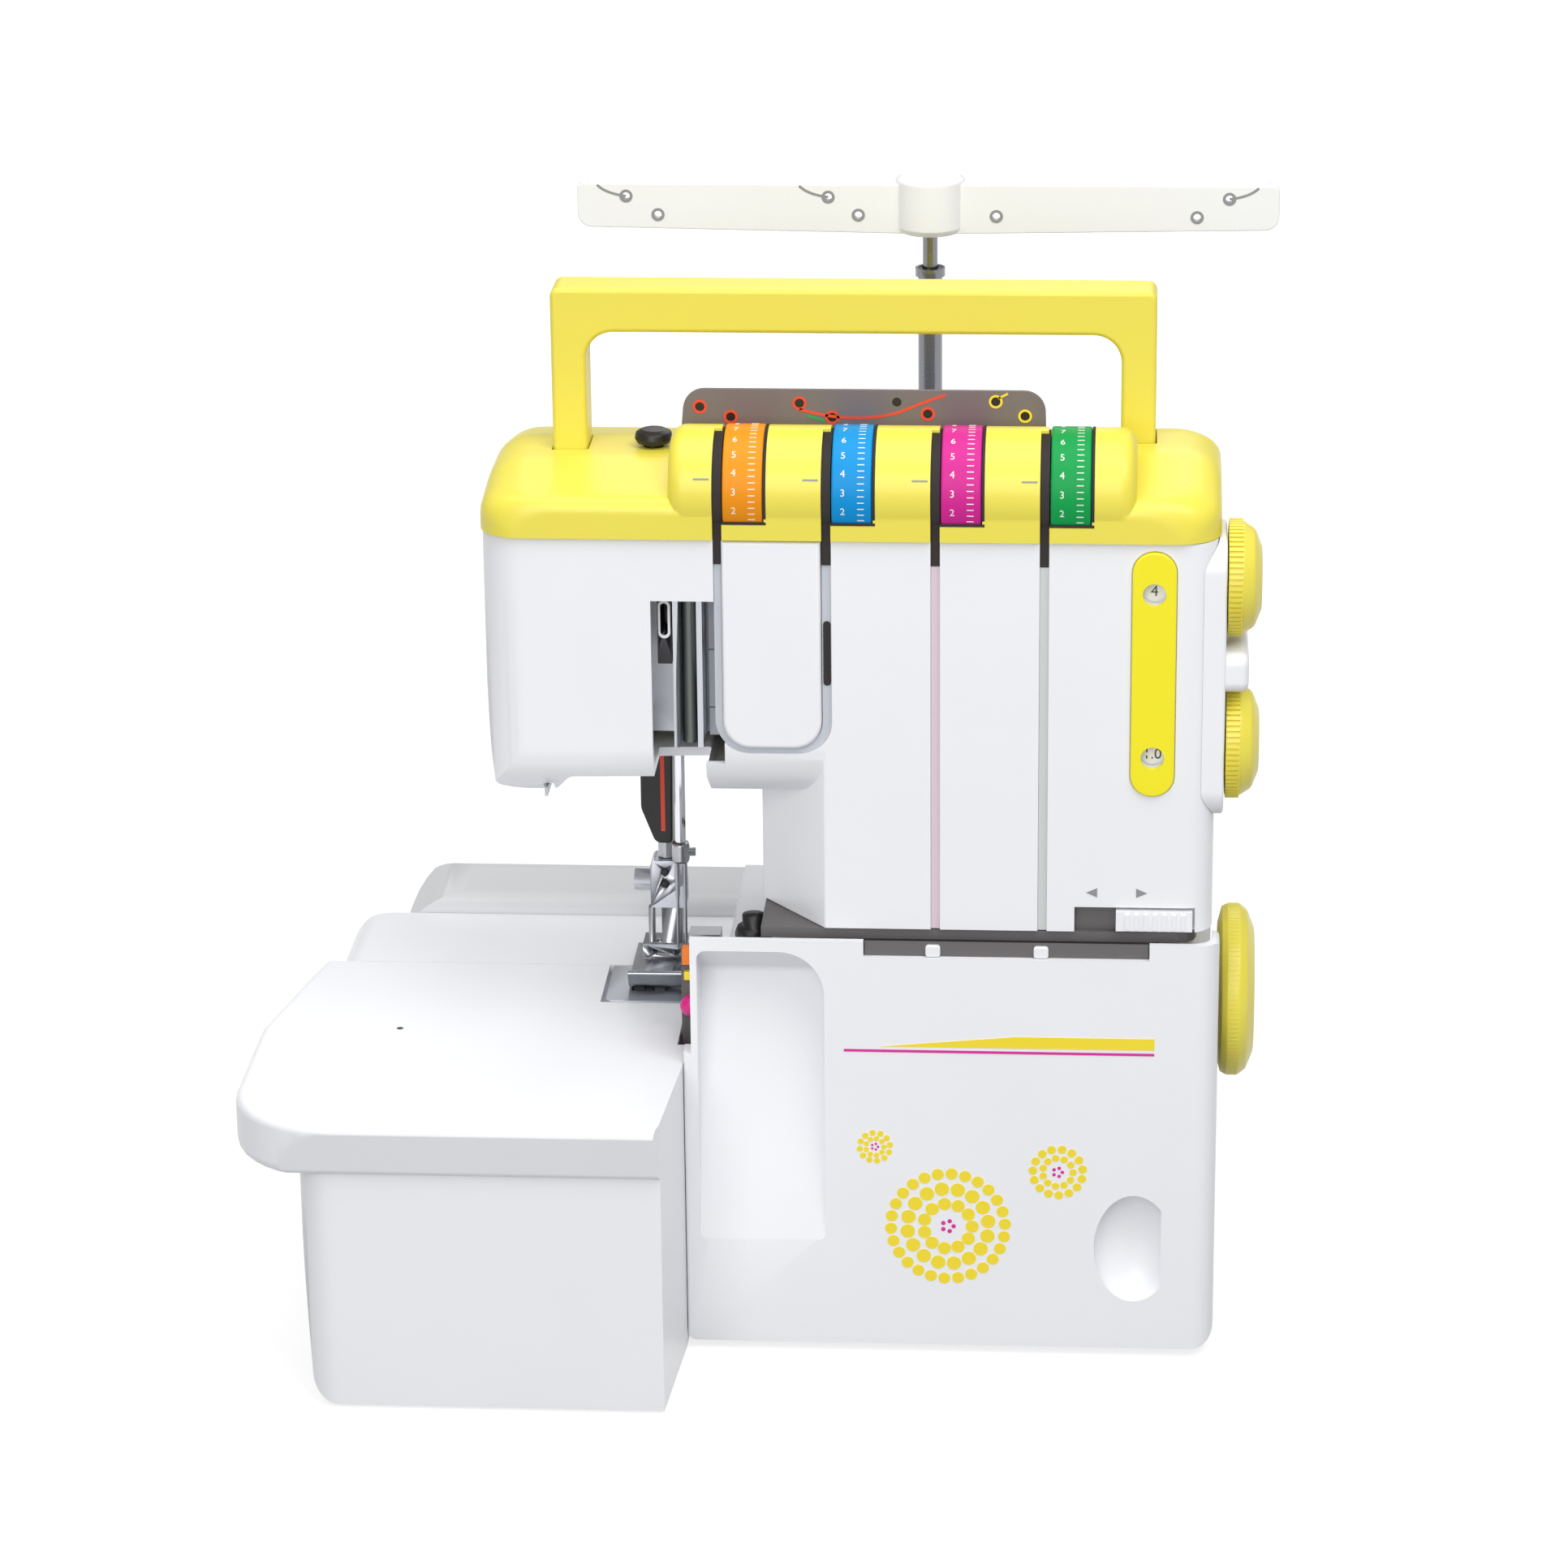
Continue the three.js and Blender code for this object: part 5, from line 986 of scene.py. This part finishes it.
bar = {"left": -73.5, "right": 168.7, "top": 352, "foot": 334.5, "front": 102.5, "thick": 3, "hole": 1.4,
       "eyes": ((-105, 4.5), (-94, 11), (-35, 4.5), (-24.6, 10.8), (23, 11), (92, 11), (103, 4.5))}
a, b, roof, foot, y0 = (bar[k] for k in ("left", "right", "top", "foot", "front"))
wing = prism("y", [(a, foot + 2, 5), (x, foot), (b, foot + 2, 5), (b, roof, 2), (a, roof, 2)],
             y0, y0 + bar["thick"], 0.5, 0)
wing = joined(wing, prism("z", rectangle(a + 3, b - 3, 105, 114, 1.5), roof - 2.5, roof, 0, 0.6))
hub = turned("z", (x, y), [(0, foot), (10, foot), (12, foot + 2, 1), (12, 353, 1.5), (10, 354.6, 1),
                           (0, 354.6)], 48)
eyes = [(x + side, roof - down) for side, down in bar["eyes"]]
wing = cut(joined(wing, hub), rod("z", (x, y), 2.9, 333, 343.9),
           *[rod("y", eye, bar["hole"], 100, 108) for eye in eyes])
finish("guideBarWing", wing, whiteAbs, "thread_guide_bar", ["thread_guide_bar"], "white_casing")
rims = [ring(eye, 1.3, 2.3, y0, 0.15) for eye in eyes]
finish("eyeletRims", merged(*rims), printGrey, "thread_guide_bar")
splits = [ribbon(bend((x + side, roof - 0.6), (x + side * 0.7, z + 0.8), (x, z)), 0.9, y0, 0.06)
          for (x, z), side in ((eyes[0], -10), (eyes[2], -10), (eyes[6], 10))]
finish("threadSlits", merged(*splits), printGrey, "thread_guide_bar")
print("spool stand ready")


# Nodes that keep their own mesh, with their finish

finishes = {
    greyAbs: ["base_plate"],
    feetRubber: [*[f"rubber_foot_{k}" for k in (1, 2, 3, 4)], "drive_belt"],
    deckAbs: ["thread_deck"],
    castAlloy: ["machine_frame", "motor"],
    whiteAbs: ["rolled_hem_slider"],
    blackAcetal: ["motor_pulley", "power_inlet", "power_switch"],
    groundSteel: ["tension_shaft", "main_shaft", "looper_cover_hinge_rod", "feed_dog_main",
                  "feed_dog_differential", "lower_knife", "thread_cutter"],
    chromePlate: ["lower_looper", "upper_looper"],
}
for material, nodes in finishes.items():
    for node in nodes:
        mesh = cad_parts[node].data
        mesh.materials.clear()
        mesh.materials.append(material)

smoothNodes = {
    "antennaBaseTube": ("antenna_base_tube", tubeSteel, "body", "steel"),
    "antennaMiddleTube": ("antenna_middle_tube", tubeSteel, "antenna_middle", "chrome"),
    "antennaTopRod": ("antenna_rod", tubeSteel, "antenna_rod", "chrome"),
    "needleBarRod": ("needle_bar", chromePlate, "needle_bar", "chrome"),
    "needleClampBlock": ("needle_clamp", groundSteel, "needle_bar", "steel"),
    "presserBarRod": ("presser_bar", groundSteel, "presser_bar", "steel"),
    "footHolderBlock": ("foot_holder", paleSteel, "presser_bar", "steel"),
    "presserFootSole": ("presser_foot", groundSteel, "presser_bar", "steel"),
    "cuttingWidthPost": ("cutting_width_knob", blackAcetal, "cutting_width_knob", "black"),
    "guardPlate": ("needle_bar_guard", brushedPlate, "body", "chrome"),
    "needleEye": ("needle_thread_guide", blackAcetal, "body", "black"),
    "upperKnifeBlade": ("upper_knife", groundSteel, "upper_knife", "steel"),
    "needlePlateSheet": ("needle_plate", brushedPlate, "body", "steel"),
}
for name, (node, material, body, slotName) in smoothNodes.items():
    shape = newObject(name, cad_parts[node].data.copy())
    finish(name, shape, material, body, [node], slotName, 35, False)

lever = prism("y", [(-44.8, 195, 2), (-44.8, 162, 6), (-40, 149.5, 3), (-34.2, 149.5, 1.5), (-33.6, 195, 2)],
              -7, -2, 0.8, 0.4)
lever = cut(lever, rod("y", (-41, 190), 2.3, -8, 0))
finish("lifterLever", lever, blackAcetal, "presser_lifter", ["presser_lifter"], "black")
finish("lifterLine", box(-38, -36.6, -7.06, -6.9, 154, 190), printRed, "presser_lifter")

# Looper thread guides: a dark bracket with an orange clip and a magenta post
y = -60
bracket = joined(box(-27.2, -22.9, y, y + 3, 97, 133), box(-23, -14.3, y, y + 3, 99, 110))
finish("looperGuideBracket", bracket, deckAbs, "body", ["looper_thread_guides"], "dark_grey")
clip = cut(box(-26.6, -22.8, y - 3, y + 0.4, 127.6, 133.4), rod("x", (y - 1.6, 130.5), 1, -30, -20))
finish("looperGuideClip", clip, orangeAbs, "body")
finish("looperGuideTab", box(-26.2, -23.6, y - 2, y + 0.4, 121.6, 124.6, 0.4), printYellow, "body")
post = turned("y", (-23.8, 112.9), [(0, y - 6), (2, y - 5.6, 0.4), (3.4, y - 4, 0.8), (3.8, y - 2.4, 0.8),
                                    (3.2, y + 0.5), (0, y + 0.5)], 32)
finish("looperGuidePost", post, magentaAbs, "body")

# What shows in the needle bar window: a dark rod in the folded guide, an eyelet rim and a pale panel
rodGrey = metal("rodGrey", "#6A6E6C", 0.35, 0.5, (1, 1, 10), 0.004)
panelGrey = moulded("panelGrey", "#DCE1EA", 0.45, 0.5, 0.02)
catchRed = moulded("catchRed", "#7C1F33", 0.5, 0.5, 0.02)
finish("guardRod", rod("z", (-21.9, -68.8), 2.6, 208, 258), rodGrey, "body")
eyeRim = cut(prism("y", rectangle(-31.3, -27.4, 244.6, 257.3, 1.9), -75.12, -74.9),
             prism("y", rectangle(-30.6, -28.2, 245.6, 256.3, 1.2), -76, -74))
finish("eyeletRim", eyeRim, whiteAbs, "body")
panel = {"left": -16.2, "right": -9.9, "front": -63, "foot": 208, "top": 259, "seams": (236.8, 217.2)}
a, b, y = panel["left"], panel["right"], panel["front"]
finish("guardSidePanel", box(a, b, y, y + 2.9, panel["foot"], panel["top"]), panelGrey, "body")
seams = [box(a, b, y - 0.12, y + 0.1, z, z + 0.5) for z in panel["seams"]]
finish("guardPanelSeams", merged(*seams), printGrey, "body")
finish("guardCatch", box(-14.1, -12.3, y - 3, y, 238, 244), catchRed, "body")

# Grey sheet under the gap round the needle plate, painted shade of that gap; screws of the foot holder and a
# dot on the table
x, y, edges = -59, -35, (97.6, 99.2)
seat = joined(box(x, -30, y, -31.5, *edges), box(x, -55.5, y, 0.4, *edges), box(x, -30, y, -26, *edges))
finish("needlePlateShadeSheet", seat, shadeSheetGrey, "body")
heads = [turned("y", (-37.6, z), [(0, -1.3), (1, -1.3, 0.3), (1.4, -0.9, 0.2), (1.4, 0.5), (0, 0.5)], 24)
         for z in (136.9, 132.5)]
finish("holderScrews", merged(*heads), blackAcetal, "presser_bar")
finish("tableDot", rod("z", (-121.6, -59.6), 1.1, bedTop - 0.2, bedTop + 0.06), printDark, "side_cover")
print("mechanism ready")


# Floor, light and camera

stageLook = {"floor": "#8C8C8F", "glow": 0.78, "farGlow": 1.0, "near": 0.45, "far": 1.7, "share": 0.3,
             "size": 12, "sky": 0.39, "aim": (0, -0.03, 0.15)}
floorMesh = bpy.data.meshes.new("floor")
s = stageLook["size"] / 2
floorMesh.from_pydata([(-s, -s, 0), (s, -s, 0), (s, s, 0), (-s, s, 0)], [], [(0, 1, 2, 3)])
floor = newObject("floor", floorMesh)
floorPaper, tree, principled, place = newMaterial("floorPaper", {
    "Base Color": toLinear(stageLook["floor"]), "Roughness": 0.9, "Specular IOR Level": 0.1})
# Seen or mirrored, the paper glows to white and keeps a share of its own shading, so the shadow stays.
path = addNode(tree, "ShaderNodeLightPath")
seen = addNode(tree, "ShaderNodeMath", {"operation": "MAXIMUM"}, {
    0: path.outputs["Is Camera Ray"], 1: path.outputs["Is Glossy Ray"]})
away = addNode(tree, "ShaderNodeVectorMath", {"operation": "LENGTH"}, {"Vector": place})
rise = addNode(tree, "ShaderNodeMapRange", inputs={
    "Value": away.outputs["Value"], "From Min": stageLook["near"], "From Max": stageLook["far"],
    "To Min": stageLook["glow"], "To Max": stageLook["farGlow"]})
glow = addNode(tree, "ShaderNodeEmission", inputs={"Color": (1, 1, 1, 1), "Strength": rise.outputs[0]})
dim = addNode(tree, "ShaderNodeBsdfDiffuse", inputs={"Color": [stageLook["share"]] * 3 + [1]})
bright = addNode(tree, "ShaderNodeAddShader", inputs={0: glow.outputs[0], 1: dim.outputs[0]})
choice = addNode(tree, "ShaderNodeMixShader", inputs={
    0: seen.outputs[0], 1: principled.outputs[0], 2: bright.outputs[0]})
tree.links.new(choice.outputs[0], tree.nodes["Material Output"].inputs["Surface"])
floorMesh.materials.append(floorPaper)

world = bpy.data.worlds.new("studio")
scene.world = world
world.use_nodes = True
tree = world.node_tree
tree.nodes.clear()
sky = addNode(tree, "ShaderNodeBackground", inputs={"Color": (1, 1, 1, 1), "Strength": stageLook["sky"]})
white = addNode(tree, "ShaderNodeBackground", inputs={"Color": (1, 1, 1, 1), "Strength": 1})
path = addNode(tree, "ShaderNodeLightPath")
mix = addNode(tree, "ShaderNodeMixShader", inputs={
    0: path.outputs["Is Camera Ray"], 1: sky.outputs[0], 2: white.outputs[0]})
addNode(tree, "ShaderNodeOutputWorld", inputs={"Surface": mix.outputs[0]})

lamps = {
    "keySoftbox": {"at": (0.7, -0.9, 1.7), "size": 1.1, "power": 15.5},
    "topSoftbox": {"at": (-0.3, -0.1, 1.9), "size": 1.4, "power": 12.5},
    "fillSoftbox": {"at": (-0.3, -2.1, 1.1), "size": 1.4, "power": 21},
    "rimSoftbox": {"at": (0.2, 1.3, 1.3), "size": 1.0, "power": 5},
}
for name, lamp in lamps.items():
    light = bpy.data.lights.new(name, "AREA")
    light.shape = "SQUARE"
    light.size = lamp["size"]
    light.energy = lamp["power"]
    shape = newObject(name, light)
    shape.location = lamp["at"]
    aim = Vector(stageLook["aim"]) - Vector(lamp["at"])
    shape.rotation_euler = aim.to_track_quat("-Z", "Y").to_euler()

camera = {"at": (0.12055, -1.67665, 0.76412), "look": (-0.06576, 0.94035, -0.33381),
          "lens": 121.12, "sensor": 36, "roll": -0.6}
lens = bpy.data.cameras.new("camera")
lens.lens = camera["lens"]
lens.sensor_width = camera["sensor"]
eye = newObject("camera", lens)
eye.location = camera["at"]
aim = Vector(camera["look"]).to_track_quat("-Z", "Y")
eye.rotation_euler = (aim @ Quaternion((0, 0, 1), math.radians(camera["roll"]))).to_euler()
scene.camera = eye
scene.view_settings.view_transform = "Standard"

print("stage ready")
